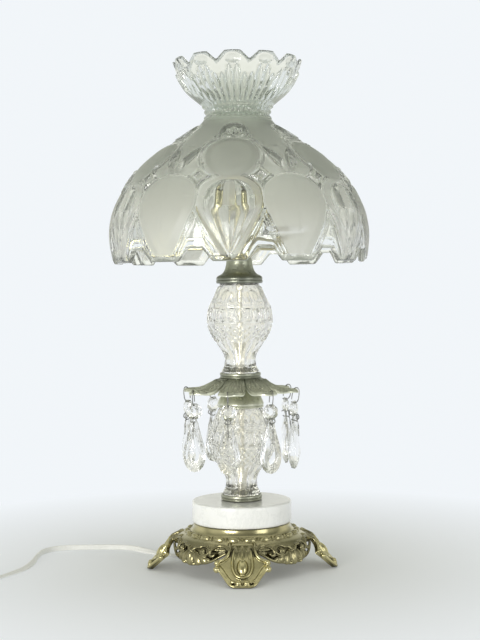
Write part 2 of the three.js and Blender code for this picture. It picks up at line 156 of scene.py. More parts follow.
def lathe(name, profile, A=96, relief=None, attrs=None, sharp=None, phase=0.0):
    """A turned ring from a closed (r, z) profile; relief(az, r, z) moves points along the profile's normal."""
    P = np.asarray(profile, float)
    az = phase + np.arange(A) * 360 / A
    R, Z = np.repeat(P[:, :1], A, 1), np.repeat(P[:, 1:], A, 1)
    if relief is not None:
        d = np.roll(P, -1, 0) - np.roll(P, 1, 0)
        d /= np.maximum(np.linalg.norm(d, axis=1, keepdims=True), 1e-9)
        N = np.stack([d[:, 1], -d[:, 0]], axis=1)
        area = 0.5 * np.sum(P[:, 0] * np.roll(P[:, 1], -1) - np.roll(P[:, 0], -1) * P[:, 1])
        if area < 0:
            N = -N
        H = relief(az[None, :], R, Z)
        R, Z = R + N[:, :1] * H, Z + N[:, 1:] * H
    V = polar(R, az[None, :], Z)
    return make(name, V, wrap_quads(len(P), A), attrs=attrs(az[None, :], R, Z) if attrs else None, sharp=sharp)


def frames(path):
    """Unit tangents and a turning-free pair of normals along a path."""
    t = np.gradient(path, axis=0)
    t /= np.maximum(np.linalg.norm(t, axis=1, keepdims=True), 1e-9)
    ref = np.array([0, 0, 1.0]) if abs(t[0, 2]) < 0.9 else np.array([1.0, 0, 0])
    n = np.zeros_like(t)
    n[0] = np.cross(t[0], ref)
    n[0] /= np.linalg.norm(n[0])
    for i in range(1, len(t)):
        v = n[i - 1] - t[i] * np.dot(n[i - 1], t[i])
        n[i] = v / max(np.linalg.norm(v), 1e-9)
    return t, n, np.cross(t, n)


def tube_parts(path, r, sides=10, offset=0):
    """Vertices, quads and triangles of a round tube with domed ends; r is one radius or one for each point."""
    path = np.asarray(path, float)
    r = np.broadcast_to(np.asarray(r, float), (len(path),)).copy()
    t, n, b = frames(path)
    a = np.arange(sides) * 2 * math.pi / sides
    rings = [path[0] - t[0] * r[0] * 0.75 + (np.cos(a)[:, None] * n[0] + np.sin(a)[:, None] * b[0]) * r[0] * 0.6]
    for i in range(len(path)):
        rings.append(path[i] + (np.cos(a)[:, None] * n[i] + np.sin(a)[:, None] * b[i]) * r[i])
    rings.append(path[-1] + t[-1] * r[-1] * 0.75 + (np.cos(a)[:, None] * n[-1] + np.sin(a)[:, None] * b[-1]) * r[-1] * 0.6)
    S = len(rings)
    V = np.vstack([np.vstack(rings), path[0] - t[0] * r[0], path[-1] + t[-1] * r[-1]])
    Q = wrap_quads(S, sides, wrap_s=False)
    k = np.arange(sides)
    T = np.vstack([
        np.stack([np.full(sides, S * sides), (k + 1) % sides, k], 1),
        np.stack([np.full(sides, S * sides + 1), (S - 1) * sides + k, (S - 1) * sides + (k + 1) % sides], 1),
    ])
    return V, Q + offset, T + offset


def ball_parts(centre, radii, axes=None, n=12, m=8):
    """An ellipsoid with its radii along the rows of axes."""
    axes = np.eye(3) if axes is None else np.asarray(axes, float)
    th = np.linspace(0, math.pi, m + 1)[1:-1]
    ph = np.arange(n) * 2 * math.pi / n
    ring = np.stack([
        np.outer(np.sin(th), np.cos(ph)), np.outer(np.sin(th), np.sin(ph)), np.outer(np.cos(th), np.ones(n)),
    ], axis=-1).reshape(-1, 3)
    U = np.vstack([ring, [[0, 0, 1.0]], [[0, 0, -1.0]]])
    V = centre + (U * np.asarray(radii, float)) @ axes
    S = m - 1
    Q = wrap_quads(S, n, wrap_s=False)
    k = np.arange(n)
    T = np.vstack([
        np.stack([np.full(n, S * n), (k + 1) % n, k], 1),
        np.stack([np.full(n, S * n + 1), (S - 1) * n + k, (S - 1) * n + (k + 1) % n], 1),
    ])
    return V, Q, T


class Heap:
    """Closed shells gathered into one mesh."""

    def __init__(self):
        self.V, self.Q, self.T, self.n = [], [], [], 0

    def put(self, V, Q, T=()):
        V = np.asarray(V, float).reshape(-1, 3)
        Q = np.asarray(Q, np.int64).reshape(-1, 4)
        T = np.asarray(T, np.int64).reshape(-1, 3)
        if volume(V, Q, T) < 0:
            Q, T = Q[:, ::-1], T[:, ::-1]
        self.V.append(V)
        self.Q.append(Q + self.n)
        self.T.append(T + self.n)
        self.n += len(V)

    def tube(self, path, r, sides=10):
        self.put(*tube_parts(path, r, sides))

    def ball(self, c, radii, axes=None, n=14, m=9):
        self.put(*ball_parts(np.asarray(c, float), radii, axes, n, m))

    def lathe(self, profile, A=128):
        P = np.asarray(profile, float)
        az = np.arange(A) * 360 / A
        self.put(polar(P[:, :1], az[None, :], P[:, 1:]), wrap_quads(len(P), A))

    def object(self, name, **kw):
        return make(name, np.vstack(self.V), np.vstack(self.Q), np.vstack(self.T), **kw)


def fuse(o, voxel, relax=0, adaptivity=0.0):
    """Joins the overlapping shells of a mesh into one skin."""
    m = o.modifiers.new("fuse", "REMESH")
    m.mode = "VOXEL"
    m.voxel_size = voxel * MM
    m.adaptivity = adaptivity * MM
    m.use_smooth_shade = True
    if relax:
        s = o.modifiers.new("relax", "SMOOTH")
        s.factor, s.iterations = 0.5, relax
    dg = bpy.context.evaluated_depsgraph_get()
    me = bpy.data.meshes.new_from_object(o.evaluated_get(dg))
    o.modifiers.clear()
    old, o.data = o.data, me
    bpy.data.meshes.remove(old)
    me.name = o.name
    for p in (me.polygons,):
        p.foreach_set("use_smooth", np.ones(len(p), dtype=bool))
    return o


# ------------------------------------------------------------------ materials
def nodes_of(name):
    m = bpy.data.materials.new(name)
    m.use_nodes = True
    nt = m.node_tree
    nt.nodes.clear()
    out = nt.nodes.new("ShaderNodeOutputMaterial")
    p = nt.nodes.new("ShaderNodeBsdfPrincipled")
    nt.links.new(p.outputs["BSDF"], out.inputs["Surface"])
    return m, nt, p


def N(nt, kind, **props):
    n = nt.nodes.new(kind)
    for k, v in props.items():
        if k in n.inputs:
            n.inputs[k].default_value = v
        else:
            setattr(n, k, v)
    return n


def noise(nt, scale, detail=3.0, rough=0.5, distort=0.0, coords="Object"):
    tc = nt.nodes.new("ShaderNodeTexCoord")
    n = nt.nodes.new("ShaderNodeTexNoise")
    n.inputs["Scale"].default_value = scale
    n.inputs["Detail"].default_value = detail
    n.inputs["Roughness"].default_value = rough
    n.inputs["Distortion"].default_value = distort
    nt.links.new(tc.outputs[coords], n.inputs["Vector"])
    return n


def ramp(nt, source, stops):
    r = nt.nodes.new("ShaderNodeValToRGB")
    e = r.color_ramp.elements
    while len(e) < len(stops):
        e.new(0.5)
    for el, (pos, col) in zip(e, stops):
        el.position = pos
        el.color = (*col, 1) if len(col) == 3 else col
    nt.links.new(source, r.inputs["Fac"])
    return r


def maprange(nt, source, a, b, c, d):
    m = nt.nodes.new("ShaderNodeMapRange")
    m.inputs["From Min"].default_value = a
    m.inputs["From Max"].default_value = b
    m.inputs["To Min"].default_value = c
    m.inputs["To Max"].default_value = d
    nt.links.new(source, m.inputs["Value"])
    return m.outputs["Result"]


def mix(nt, fac, a, b, blend="MIX"):
    m = nt.nodes.new("ShaderNodeMix")
    m.data_type = "RGBA"
    m.blend_type = blend
    for sock, v in ((m.inputs[0], fac), (m.inputs[6], a), (m.inputs[7], b)):
        if isinstance(v, (int, float)):
            sock.default_value = v
        elif isinstance(v, tuple):
            sock.default_value = (*v, 1)
        else:
            nt.links.new(v, sock)
    return m.outputs[2]


def bumped(nt, p, height, strength, distance):
    b = nt.nodes.new("ShaderNodeBump")
    b.inputs["Strength"].default_value = strength
    b.inputs["Distance"].default_value = distance
    nt.links.new(height, b.inputs["Height"])
    nt.links.new(b.outputs["Normal"], p.inputs["Normal"])


def brass(name, light, dark, rough, worn, patina=0.5, ao=0.006, bump_strength=0.12, coat=0.0, painted_light_by_height=None, painted_light_by_radius=None):
    """Cast or spun brass: dark in its recesses, brighter along worn edges, unevenly polished."""
    m, nt, p = nodes_of(name)
    n1 = noise(nt, 60, 4, 0.55)
    n2 = noise(nt, 420, 3, 0.6)
    base = mix(nt, maprange(nt, n1.outputs["Fac"], 0.35, 0.7, 0, 1), light, tuple(0.82 * c for c in light))
    a = nt.nodes.new("ShaderNodeAmbientOcclusion")
    a.inputs["Distance"].default_value = ao
    a.samples = 6
    recess = maprange(nt, a.outputs["AO"], 0.25, 0.9, patina, 0.0)
    base = mix(nt, recess, base, dark)
    g = nt.nodes.new("ShaderNodeNewGeometry")
    edge = maprange(nt, g.outputs["Pointiness"], 0.52, 0.62, 0.0, worn)
    base = mix(nt, edge, base, tuple(min(1.0, 1.35 * c) for c in light))
    nt.links.new(base, p.inputs["Base Color"])
    p.inputs["Metallic"].default_value = 1.0
    r = maprange(nt, n2.outputs["Fac"], 0.3, 0.75, rough * 0.75, rough * 1.35)
    nt.links.new(r, p.inputs["Roughness"])
    bumped(nt, p, n2.outputs["Fac"], bump_strength, 0.0003)
    # painted light and shade: the base colour is multiplied by a ramp over the object's height
    if painted_light_by_height:
        sep = nt.nodes.new("ShaderNodeSeparateXYZ")
        nt.links.new(nt.nodes.new("ShaderNodeTexCoord").outputs["Object"], sep.inputs[0])
        shade_ = ramp(nt, maprange(nt, sep.outputs["Z"], 0.0, 0.4, 0, 1), painted_light_by_height)
        nt.links.new(mix(nt, 1.0, base, shade_.outputs["Color"], "MULTIPLY"), p.inputs["Base Color"])
    if painted_light_by_radius:                                              # painted light: brighter far out on the feet, painted shade over the skirt nearer the middle
        flat = N(nt, "ShaderNodeVectorMath", operation="MULTIPLY")
        nt.links.new(nt.nodes.new("ShaderNodeTexCoord").outputs["Object"], flat.inputs[0])
        flat.inputs[1].default_value = (1, 1, 0)
        far = N(nt, "ShaderNodeVectorMath", operation="LENGTH")
        nt.links.new(flat.outputs[0], far.inputs[0])
        painted_light_ramp = ramp(nt, maprange(nt, far.outputs["Value"], 0.0, 0.11, 0, 1), painted_light_by_radius)
        nt.links.new(mix(nt, 1.0, base, painted_light_ramp.outputs["Color"], "MULTIPLY"), p.inputs["Base Color"])
    if coat:
        p.inputs["Coat Weight"].default_value = coat
        p.inputs["Coat Roughness"].default_value = 0.12
    return m


def glass(name, tint, rough, ior=1.5, wave=0.0, milk=0.0):
    m, nt, p = nodes_of(name)
    p.inputs["Transmission Weight"].default_value = 1.0 - milk
    p.inputs["IOR"].default_value = ior
    n1 = noise(nt, 90, 3, 0.55)
    col = mix(nt, maprange(nt, n1.outputs["Fac"], 0.3, 0.7, 0.0, 1.0), tint, tuple(0.97 * c for c in tint))
    nt.links.new(col, p.inputs["Base Color"])
    r = maprange(nt, n1.outputs["Fac"], 0.3, 0.7, rough * 0.6, rough * 1.6)
    nt.links.new(r, p.inputs["Roughness"])
    bumped(nt, p, n1.outputs["Fac"], 0.05 + wave, 0.001)
    return m


def shade_material():
    """Pressed glass, clear and acid-frosted by the mesh's frost value; its tints darken with height, towards the thick
    neck and over the frosted dome's top, mostly as painted shade.
    """
    m, nt, p = nodes_of("shade_glass")
    p.inputs["IOR"].default_value = 1.5
    f = N(nt, "ShaderNodeAttribute", attribute_name="frost").outputs["Fac"]
    sep = nt.nodes.new("ShaderNodeSeparateXYZ")
    nt.links.new(nt.nodes.new("ShaderNodeTexCoord").outputs["Object"], sep.inputs[0])
    t = maprange(nt, sep.outputs["Z"], 0.30, 0.52, 0, 1)
    # painted shade: both tints darken with height, deepest at the neck and over the frosted dome; the lower frosted
    # balloons stay lighter and warmer
    clear = ramp(nt, t, [(0.05, (0.965, 0.975, 0.965)), (0.27, (0.955, 0.965, 0.94)), (0.41, (0.925, 0.935, 0.895)), (0.64, (0.86, 0.875, 0.83)), (0.70, (0.62, 0.66, 0.60)), (0.75, (0.62, 0.66, 0.60)), (0.79, (0.72, 0.75, 0.70)),
                         (0.82, (0.80, 0.825, 0.78)), (0.90, (0.855, 0.87, 0.835)), (0.98, (0.86, 0.87, 0.85))])
    frosted = ramp(nt, t, [(0.05, (0.70, 0.70, 0.635)), (0.27, (0.645, 0.645, 0.575)), (0.38, (0.61, 0.62, 0.55)), (0.45, (0.54, 0.56, 0.49)), (0.64, (0.50, 0.525, 0.455)),
                           (0.75, (0.48, 0.51, 0.445))])
    n1, speck = noise(nt, 90, 3, 0.55), noise(nt, 900, 2, 0.5)
    col = mix(nt, f, clear.outputs["Color"], frosted.outputs["Color"])
    col = mix(nt, maprange(nt, n1.outputs["Fac"], 0.3, 0.7, 0.0, 0.06), col, (0.72, 0.75, 0.64))
    nt.links.new(col, p.inputs["Base Color"])
    nt.links.new(maprange(nt, f, 0, 1, 0.03, 0.46), p.inputs["Roughness"])
    nt.links.new(maprange(nt, f, 0, 1, 1.0, 0.62), p.inputs["Transmission Weight"])
    bumped(nt, p, speck.outputs["Fac"], 0.05, 0.0002)
    return m


def plain(name, a, b, rough, scale=200, metallic=0.0, strength=0.08, coat=0.0, distance=0.0003):
    """A moulded, plated or rolled surface with slight mottling."""
    m, nt, p = nodes_of(name)
    n1 = noise(nt, scale, 4, 0.6)
    n2 = noise(nt, scale * 5, 2, 0.5)
    nt.links.new(mix(nt, maprange(nt, n1.outputs["Fac"], 0.35, 0.68, 0, 1), a, b), p.inputs["Base Color"])
    p.inputs["Metallic"].default_value = metallic
    nt.links.new(maprange(nt, n1.outputs["Fac"], 0.3, 0.7, rough * 0.8, rough * 1.25), p.inputs["Roughness"])
    bumped(nt, p, n2.outputs["Fac"], strength, distance)
    if coat:
        p.inputs["Coat Weight"].default_value = coat
        p.inputs["Coat Roughness"].default_value = 0.08
    return m


def marble_material():
    m, nt, p = nodes_of("marble")
    w = noise(nt, 14, 6, 0.62, 1.4)
    vein = noise(nt, 9, 8, 0.7, 2.6)
    d = nt.nodes.new("ShaderNodeMath")
    d.operation = "SUBTRACT"
    nt.links.new(vein.outputs["Fac"], d.inputs[0])
    d.inputs[1].default_value = 0.5
    ab = nt.nodes.new("ShaderNodeMath")
    ab.operation = "ABSOLUTE"
    nt.links.new(d.outputs[0], ab.inputs[0])
    lines = maprange(nt, ab.outputs[0], 0.0, 0.028, 0.34, 0.0)
    base = mix(nt, maprange(nt, w.outputs["Fac"], 0.35, 0.7, 0, 1), (0.92, 0.92, 0.895), (0.87, 0.87, 0.84))
    base = mix(nt, lines, base, (0.70, 0.71, 0.68))
    nt.links.new(base, p.inputs["Base Color"])
    nt.links.new(maprange(nt, w.outputs["Fac"], 0.3, 0.7, 0.16, 0.26), p.inputs["Roughness"])
    p.inputs["Subsurface Weight"].default_value = 0.12
    p.inputs["Subsurface Radius"].default_value = (0.004, 0.004, 0.0035)
    p.inputs["Coat Weight"].default_value = 0.3
    p.inputs["Coat Roughness"].default_value = 0.1
    bumped(nt, p, w.outputs["Fac"], 0.03, 0.0004)
    return m


MAT = {
    # cast brass carries painted light by radius: brighter out on the feet, painted shade over the skirt
    "cast_brass": brass("cast_brass", (0.55, 0.50, 0.285), (0.065, 0.062, 0.036), 0.20, 0.9, patina=0.95, ao=0.011, bump_strength=0.03,
                        painted_light_by_radius=[(0.0, (1.0, 1.0, 1.0)), (0.50, (1.0, 1.0, 1.0)), (0.56, (0.78, 0.78, 0.77)), (0.61, (0.56, 0.56, 0.55)), (0.665, (0.58, 0.58, 0.57)), (0.70, (1.14, 1.14, 1.08)), (1.0, (1.22, 1.2, 1.12))]),
    # antique brass carries painted light and shade by height: lighter on the bell cap and bobeche, darker on the seat
    # rings, darkest on the neck cap's flange
    "antique_brass": brass("antique_brass", (0.62, 0.63, 0.52), (0.22, 0.225, 0.175), 0.33, 0.7, patina=0.7, ao=0.007, bump_strength=0.06,
                           painted_light_by_height=[(0.0, (0.72, 0.72, 0.70)), (0.19, (0.72, 0.72, 0.70)), (0.22, (1.12, 1.12, 1.10)), (0.46, (1.12, 1.12, 1.10)), (0.472, (1.0, 1.0, 0.98)), (0.48, (0.60, 0.61, 0.58)), (0.66, (0.56, 0.57, 0.56)),
                                 (0.715, (0.40, 0.41, 0.40)), (0.746, (0.42, 0.43, 0.42)), (0.76, (0.76, 0.77, 0.74)), (1.0, (0.80, 0.81, 0.78))]),
    "polished_brass": brass("polished_brass", (0.52, 0.49, 0.33), (0.17, 0.16, 0.09), 0.18, 0.3, patina=0.5, ao=0.006, bump_strength=0.04),
    "zinc_steel": plain("zinc_steel", (0.86, 0.84, 0.76), (0.74, 0.72, 0.64), 0.28, 300, 1.0),
    "hook_wire": plain("hook_wire", (0.33, 0.33, 0.31), (0.22, 0.22, 0.20), 0.28, 500, 1.0),
    "bulb_cap_metal": plain("bulb_cap_metal", (0.76, 0.76, 0.75), (0.66, 0.66, 0.64), 0.25, 260, 1.0),
    "marble": marble_material(),
    "column_glass": glass("column_glass", (0.998, 0.988, 0.945), 0.03, 1.45, 0.02, milk=0.05),
    "prism_glass": glass("prism_glass", (0.99, 0.99, 0.98), 0.008, 1.50, 0.0),
    "shade_glass": shade_material(),
    "card_liner": plain("card_liner", (0.16, 0.13, 0.10), (0.11, 0.09, 0.07), 0.75, 500),
    "socket_porcelain": plain("socket_porcelain", (0.045, 0.035, 0.03), (0.03, 0.025, 0.02), 0.3, 200),
    "dark_plastic": plain("dark_plastic", (0.03, 0.026, 0.022), (0.02, 0.018, 0.016), 0.34, 400, 0.0, 0.05),
    "cord_pvc": plain("cord_pvc", (0.83, 0.83, 0.80), (0.79, 0.79, 0.75), 0.38, 300, 0.0, 0.06),
    "plug_plastic": plain("plug_plastic", (0.80, 0.80, 0.77), (0.76, 0.76, 0.72), 0.42, 400, 0.0, 0.08),
}


def bulb_material():
    m, nt, p = nodes_of("bulb_glass")
    p.inputs["Transmission Weight"].default_value = 0.72
    p.inputs["IOR"].default_value = 1.48
    n1 = noise(nt, 120, 3)
    nt.links.new(mix(nt, maprange(nt, n1.outputs["Fac"], 0.3, 0.7, 0, 1), (0.93, 0.93, 0.90), (0.90, 0.90, 0.86)), p.inputs["Base Color"])
    nt.links.new(maprange(nt, n1.outputs["Fac"], 0.3, 0.7, 0.34, 0.44), p.inputs["Roughness"])
    return m


MAT["bulb_glass"] = bulb_material()
subparts = {s["node"]: s["material_slot"] for s in frame["record"]["subparts"]}
for node, obj in frame["nodes"].items():
    obj.data.materials.clear()
    obj.data.materials.append(MAT[subparts[node]])


def dress(o, body, slot, *nodes):
    o.data.materials.clear()
    o.data.materials.append(MAT[slot])
    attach(o, body)
    if nodes:
        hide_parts(*nodes)
    return o


# ------------------------------------------------------------------ camera, light, floor
cam_data = bpy.data.cameras.new("camera")
cam = bpy.data.objects.new("camera", cam_data)
bpy.context.scene.collection.objects.link(cam)
bpy.context.scene.camera = cam
cam_data.sensor_width = 36.0
cam_data.lens = 70.39
cam_data.clip_start, cam_data.clip_end = 0.05, 60
pitch, roll = 1.535 * RAD, -0.6 * RAD
cam.matrix_world = (
    Matrix.Translation((0.0002, -1.2747, 0.2866))
    @ Matrix.Rotation(math.pi / 2 - pitch, 4, "X")
    @ Matrix.Rotation(roll, 4, "Z")
)

scene = bpy.context.scene
scene.view_settings.view_transform = "Standard"
scene.view_settings.look = "None"
scene.cycles.max_bounces = 28
scene.cycles.transmission_bounces = 24
scene.cycles.glossy_bounces = 8
scene.cycles.diffuse_bounces = 5

# Studio: the eye sees a pale backdrop; glass and metal see a room with bright panels and grey gaps
world = bpy.data.worlds.new("studio")
scene.world = world
world.use_nodes = True
wt = world.node_tree
wt.nodes.clear()
w_out = wt.nodes.new("ShaderNodeOutputWorld")
w_tc = wt.nodes.new("ShaderNodeTexCoord")
w_sep = wt.nodes.new("ShaderNodeSeparateXYZ")
wt.links.new(w_tc.outputs["Generated"], w_sep.inputs[0])


def w_math(op, a, b=None):
    n = wt.nodes.new("ShaderNodeMath")
    n.operation = op
    for sock, v in zip(n.inputs, (a, b)):
        if v is None:
            continue
        if isinstance(v, (int, float)):
            sock.default_value = v
        else:
            wt.links.new(v, sock)
    return n.outputs[0]


turn_w = w_math("ARCTAN2", w_sep.outputs["X"], w_sep.outputs["Y"])           # 0 behind the lamp, pi behind the camera
turn_f = maprange(wt, turn_w, -math.pi, math.pi, 0, 1)
around = ramp(wt, turn_f, [
    (0.0, (0.50, 0.50, 0.48)), (0.08, (0.56, 0.56, 0.54)), (0.13, (1.0, 1.0, 0.97)), (0.20, (1.0, 1.0, 0.98)), (0.25, (0.58, 0.59, 0.56)), (0.29, (1.0, 1.0, 0.97)), (0.34, (0.95, 0.95, 0.92)),
    (0.405, (0.72, 0.74, 0.69)), (0.43, (0.95, 0.96, 0.92)), (0.5, (1.0, 1.0, 0.97)), (0.57, (0.95, 0.96, 0.92)), (0.60, (0.42, 0.43, 0.40)), (0.645, (0.80, 0.81, 0.77)), (0.67, (1.0, 1.0, 0.97)), (0.71, (1.0, 1.0, 0.97)),
    (0.74, (0.34, 0.35, 0.33)), (0.80, (0.60, 0.61, 0.59)), (0.84, (0.72, 0.73, 0.71)), (0.90, (0.45, 0.46, 0.44)), (1.0, (0.50, 0.50, 0.48)),
])
height = ramp(wt, maprange(wt, w_sep.outputs["Z"], -1, 1, 0, 1), [
    (0.0, (0.80, 0.80, 0.77)), (0.46, (0.88, 0.89, 0.85)), (0.50, (1.0, 1.0, 0.965)), (0.58, (0.98, 0.99, 0.955)), (0.66, (0.82, 0.83, 0.78)), (0.78, (0.56, 0.575, 0.53)), (0.87, (0.54, 0.55, 0.51)),
    (0.94, (0.86, 0.87, 0.83)), (1.0, (0.86, 0.87, 0.83)),
])
room = mix(wt, 1.0, around.outputs["Color"], height.outputs["Color"], "MULTIPLY")
pole = maprange(wt, w_math("ABSOLUTE", w_sep.outputs["Z"]), 0.72, 0.95, 0, 1)
room = mix(wt, pole, room, mix(wt, 1.0, (0.95, 0.95, 0.93), height.outputs["Color"], "MULTIPLY"))
w_room = wt.nodes.new("ShaderNodeBackground")
wt.links.new(room, w_room.inputs["Color"])
w_room.inputs["Strength"].default_value = 1.0
w_seen = wt.nodes.new("ShaderNodeBackground")
w_seen.inputs["Color"].default_value = (0.885, 0.92, 0.95, 1)
w_seen.inputs["Strength"].default_value = 1.0
w_lp = wt.nodes.new("ShaderNodeLightPath")
w_mix = wt.nodes.new("ShaderNodeMixShader")
wt.links.new(w_lp.outputs["Is Camera Ray"], w_mix.inputs[0])
wt.links.new(w_room.outputs[0], w_mix.inputs[1])
wt.links.new(w_seen.outputs[0], w_mix.inputs[2])
wt.links.new(w_mix.outputs[0], w_out.inputs["Surface"])


def area(name, loc, target, size, power, colour=(1, 1, 1), size_y=None):
    d = bpy.data.lights.new(name, "AREA")
    d.energy, d.color = power, colour
    d.shape = "RECTANGLE"
    d.size, d.size_y = size, size_y or size
    o = bpy.data.objects.new(name, d)
    bpy.context.scene.collection.objects.link(o)
    o.location = loc
    o.rotation_mode = "QUATERNION"
    o.rotation_quaternion = (Vector(target) - Vector(loc)).to_track_quat("-Z", "Y")
    return o


area("key", (-0.85, -1.7, 0.22), (0, 0, 0.2), 0.8, 22, (1.0, 0.99, 0.965))
area("fill", (1.35, -1.25, 0.35), (0, 0, 0.2), 0.8, 6, (0.985, 0.99, 1.0), 1.1)


def sweep_floor():
    """A pale floor that, far off, turns into the pale colour of the backdrop that only the eye sees."""
    def sheet(name, prof, half_x, n=3):
        xs = np.linspace(-half_x, half_x, n)
        V = [(x, y, z) for (y, z) in prof for x in xs]
        Q = [(i * n + j, i * n + j + 1, (i + 1) * n + j + 1, (i + 1) * n + j) for i in range(len(prof) - 1) for j in range(n - 1)]
        me = bpy.data.meshes.new(name)
        me.from_pydata(V, [], Q)
        me.polygons.foreach_set("use_smooth", [True] * len(Q))
        o = bpy.data.objects.new(name, me)
        bpy.context.scene.collection.objects.link(o)
        return o

    floor = sheet("floor", [(-9.0, 0.0), (0.0, 0.0), (9.0, 0.0)], 9)
    m, nt, p = nodes_of("floor_paper")
    n1 = noise(nt, 3, 3)
    nt.links.new(mix(nt, maprange(nt, n1.outputs["Fac"], 0.3, 0.7, 0, 1), (0.90, 0.91, 0.915), (0.885, 0.895, 0.90)), p.inputs["Base Color"])
    p.inputs["Roughness"].default_value = 0.7
    p.inputs["Specular IOR Level"].default_value = 0.2
    # far off, the floor fades into the pale backdrop
    geo = nt.nodes.new("ShaderNodeNewGeometry")
    ln = nt.nodes.new("ShaderNodeVectorMath")
    ln.operation = "LENGTH"
    nt.links.new(geo.outputs["Position"], ln.inputs[0])
    fade = maprange(nt, ln.outputs["Value"], 0.12, 0.50, 0.12, 1)
    em = nt.nodes.new("ShaderNodeEmission")
    em.inputs["Color"].default_value = (0.885, 0.92, 0.95, 1)
    ms = nt.nodes.new("ShaderNodeMixShader")
    out = next(n for n in nt.nodes if n.type == "OUTPUT_MATERIAL")
    nt.links.new(fade, ms.inputs[0])
    nt.links.new(p.outputs["BSDF"], ms.inputs[1])
    nt.links.new(em.outputs[0], ms.inputs[2])
    nt.links.new(ms.outputs[0], out.inputs["Surface"])
    floor.data.materials.append(m)


sweep_floor()

# ------------------------------------------------------------------ cord
CORD_W, CORD_T = 5.8, 3.3
COIL_C = np.array([-290.5, -75.0])


def cord_route():
    """Centre points of the cord in mm, with how far its section stands on edge at each (0 flat, 1 on edge)."""
    u = at(1, -124)
    pts, tilt = [], []

    def put(x, y, z, k):
        pts.append((x, y, z))
        tilt.append(k)

    def half(k):
        return 0.5 * math.hypot(CORD_W * k, CORD_T * math.sqrt(max(0.0, 1 - k * k)))

    put(0, 0, 30.9, 0)
    R = 25
    for i in range(7):
        t = (i / 6) * (math.pi / 2)
        put(u[0] * R * (1 - math.cos(t)), u[1] * R * (1 - math.cos(t)), 3.05 + R - R * math.sin(t) - (i / 6) * 1.2, 0)
    run = [(-40, 27), (-58, 39), (-74, 49), (-91, 58.5), (-106, 71), (-121, 82), (-142, 86.6), (-168, 87), (-190, 86),
           (-206, 79), (-214.5, 65), (-217, 45), (-217.5, 20), (-221, -6), (-230.5, -28), (-240.5, -47.5)]
    k = [0, 0, 0.05, 0.25, 0.6, 0.9, 1, 1, 1, 1, 1, 0.9, 0.6, 0.3, 0.1, 0]
    for (x, y), q in zip(run, k):
        put(x, y, 0.25 + half(q), q)
    # the coil: three rings wide and three layers high, wound clockwise seen from above
    turns, r_out, r_in = 6.5, 38.2, 26.4
    base = 0.25 + half(0)
    n = int(turns * 30)
    for i in range(n + 1):
        w = i / 30.0
        tri = (w / 2.1667) % 2
        r = r_out - (r_out - r_in) * (tri if tri <= 1 else 2 - tri)
        z = base + 4.1 * min(2.0, sum(float(sm(w, c - 0.42, c + 0.42)) for c in (2.1667, 4.3333)))
        a = -w * 2 * math.pi
        put(COIL_C[0] + r * math.cos(a), COIL_C[1] + r * math.sin(a), z, 0)
    z = pts[-1][2]
    for j, (dy, dz) in enumerate([(8, -1.6), (16, -4.2), (24, -6.6), (29, -7.4)]):
        put(-329 + 0.3 * j, COIL_C[1] + dy, max(base, z + dz), 0)
    put(-329, -43.5, max(base, z - 8.2), 0)
    return np.array(pts), np.array(tilt)


def build_cord():
    pts, tilt = cord_route()
    both = np.column_stack([pts, tilt * 30])
    line = smooth_path(both, step=2.6)
    path, k = line[:, :3], np.clip(line[:, 3] / 30, 0, 1)
    t = np.gradient(path, axis=0)
    t /= np.linalg.norm(t, axis=1, keepdims=True)
    side = np.cross(t, [0, 0, 1.0])
    start = np.cross(at(1, -124), [0, 0, 1.0])
    for i in range(len(side)):
        if np.linalg.norm(side[i]) < 0.25:
            side[i] = start
        side[i] /= np.linalg.norm(side[i])
    top = np.cross(side, t)
    ang = k * math.pi / 2
    wide = side * np.cos(ang)[:, None] + top * np.sin(ang)[:, None]
    thin = np.cross(t, wide)
    # two round cores side by side with a shallow groove between them
    a = np.arange(24) * 2 * math.pi / 24
    x = np.cos(a) * CORD_W / 2
    y = np.sin(a) * CORD_T / 2 * (1 + 0.16 * np.cos(2 * a)) * 0.93
    y *= 1 - 0.30 * np.exp(-((x / 0.55) ** 2))
    rings = path[:, None, :] + wide[:, None, :] * x[None, :, None] + thin[:, None, :] * y[None, :, None]
    S = len(path)
    V = np.vstack([rings.reshape(-1, 3), path[0], path[-1]])
    Q = wrap_quads(S, 24, wrap_s=False)
    kk = np.arange(24)
    T = np.vstack([
        np.stack([np.full(24, S * 24), (kk + 1) % 24, kk], 1),
        np.stack([np.full(24, S * 24 + 1), (S - 1) * 24 + kk, (S - 1) * 24 + (kk + 1) % 24], 1),
    ])
    o = make("power_cord", V, Q, T, sharp=60)
    dress(o, "lamp", "cord_pvc", "cord_tube", "cord_coil", "cord_tail")
    return o, path


cord, cord_path = build_cord()


# ------------------------------------------------------------------ glass shade
SHADE_OUT = [(127, 310), (128.2, 315), (129, 321), (130, 332), (129.9, 341), (128.6, 351), (126.2, 360.5), (122.8, 369), (117, 381), (109.5, 393.5),
             (100.4, 404), (90, 413.5), (78.5, 422.8), (66, 431.5), (55.6, 438.6), (46, 445), (39.8, 449.6), (35.4, 454.6), (33.0, 457.8),
             (32.3, 461), (32.8, 464.5), (34.1, 467.5), (36.2, 470.6), (39.2, 473.9), (43.9, 478), (48.9, 482.5), (53.0, 487), (56.2, 491.9), (59.1, 497.2),
             (61.4, 502.5), (63.8, 510), (65.4, 517.4)]


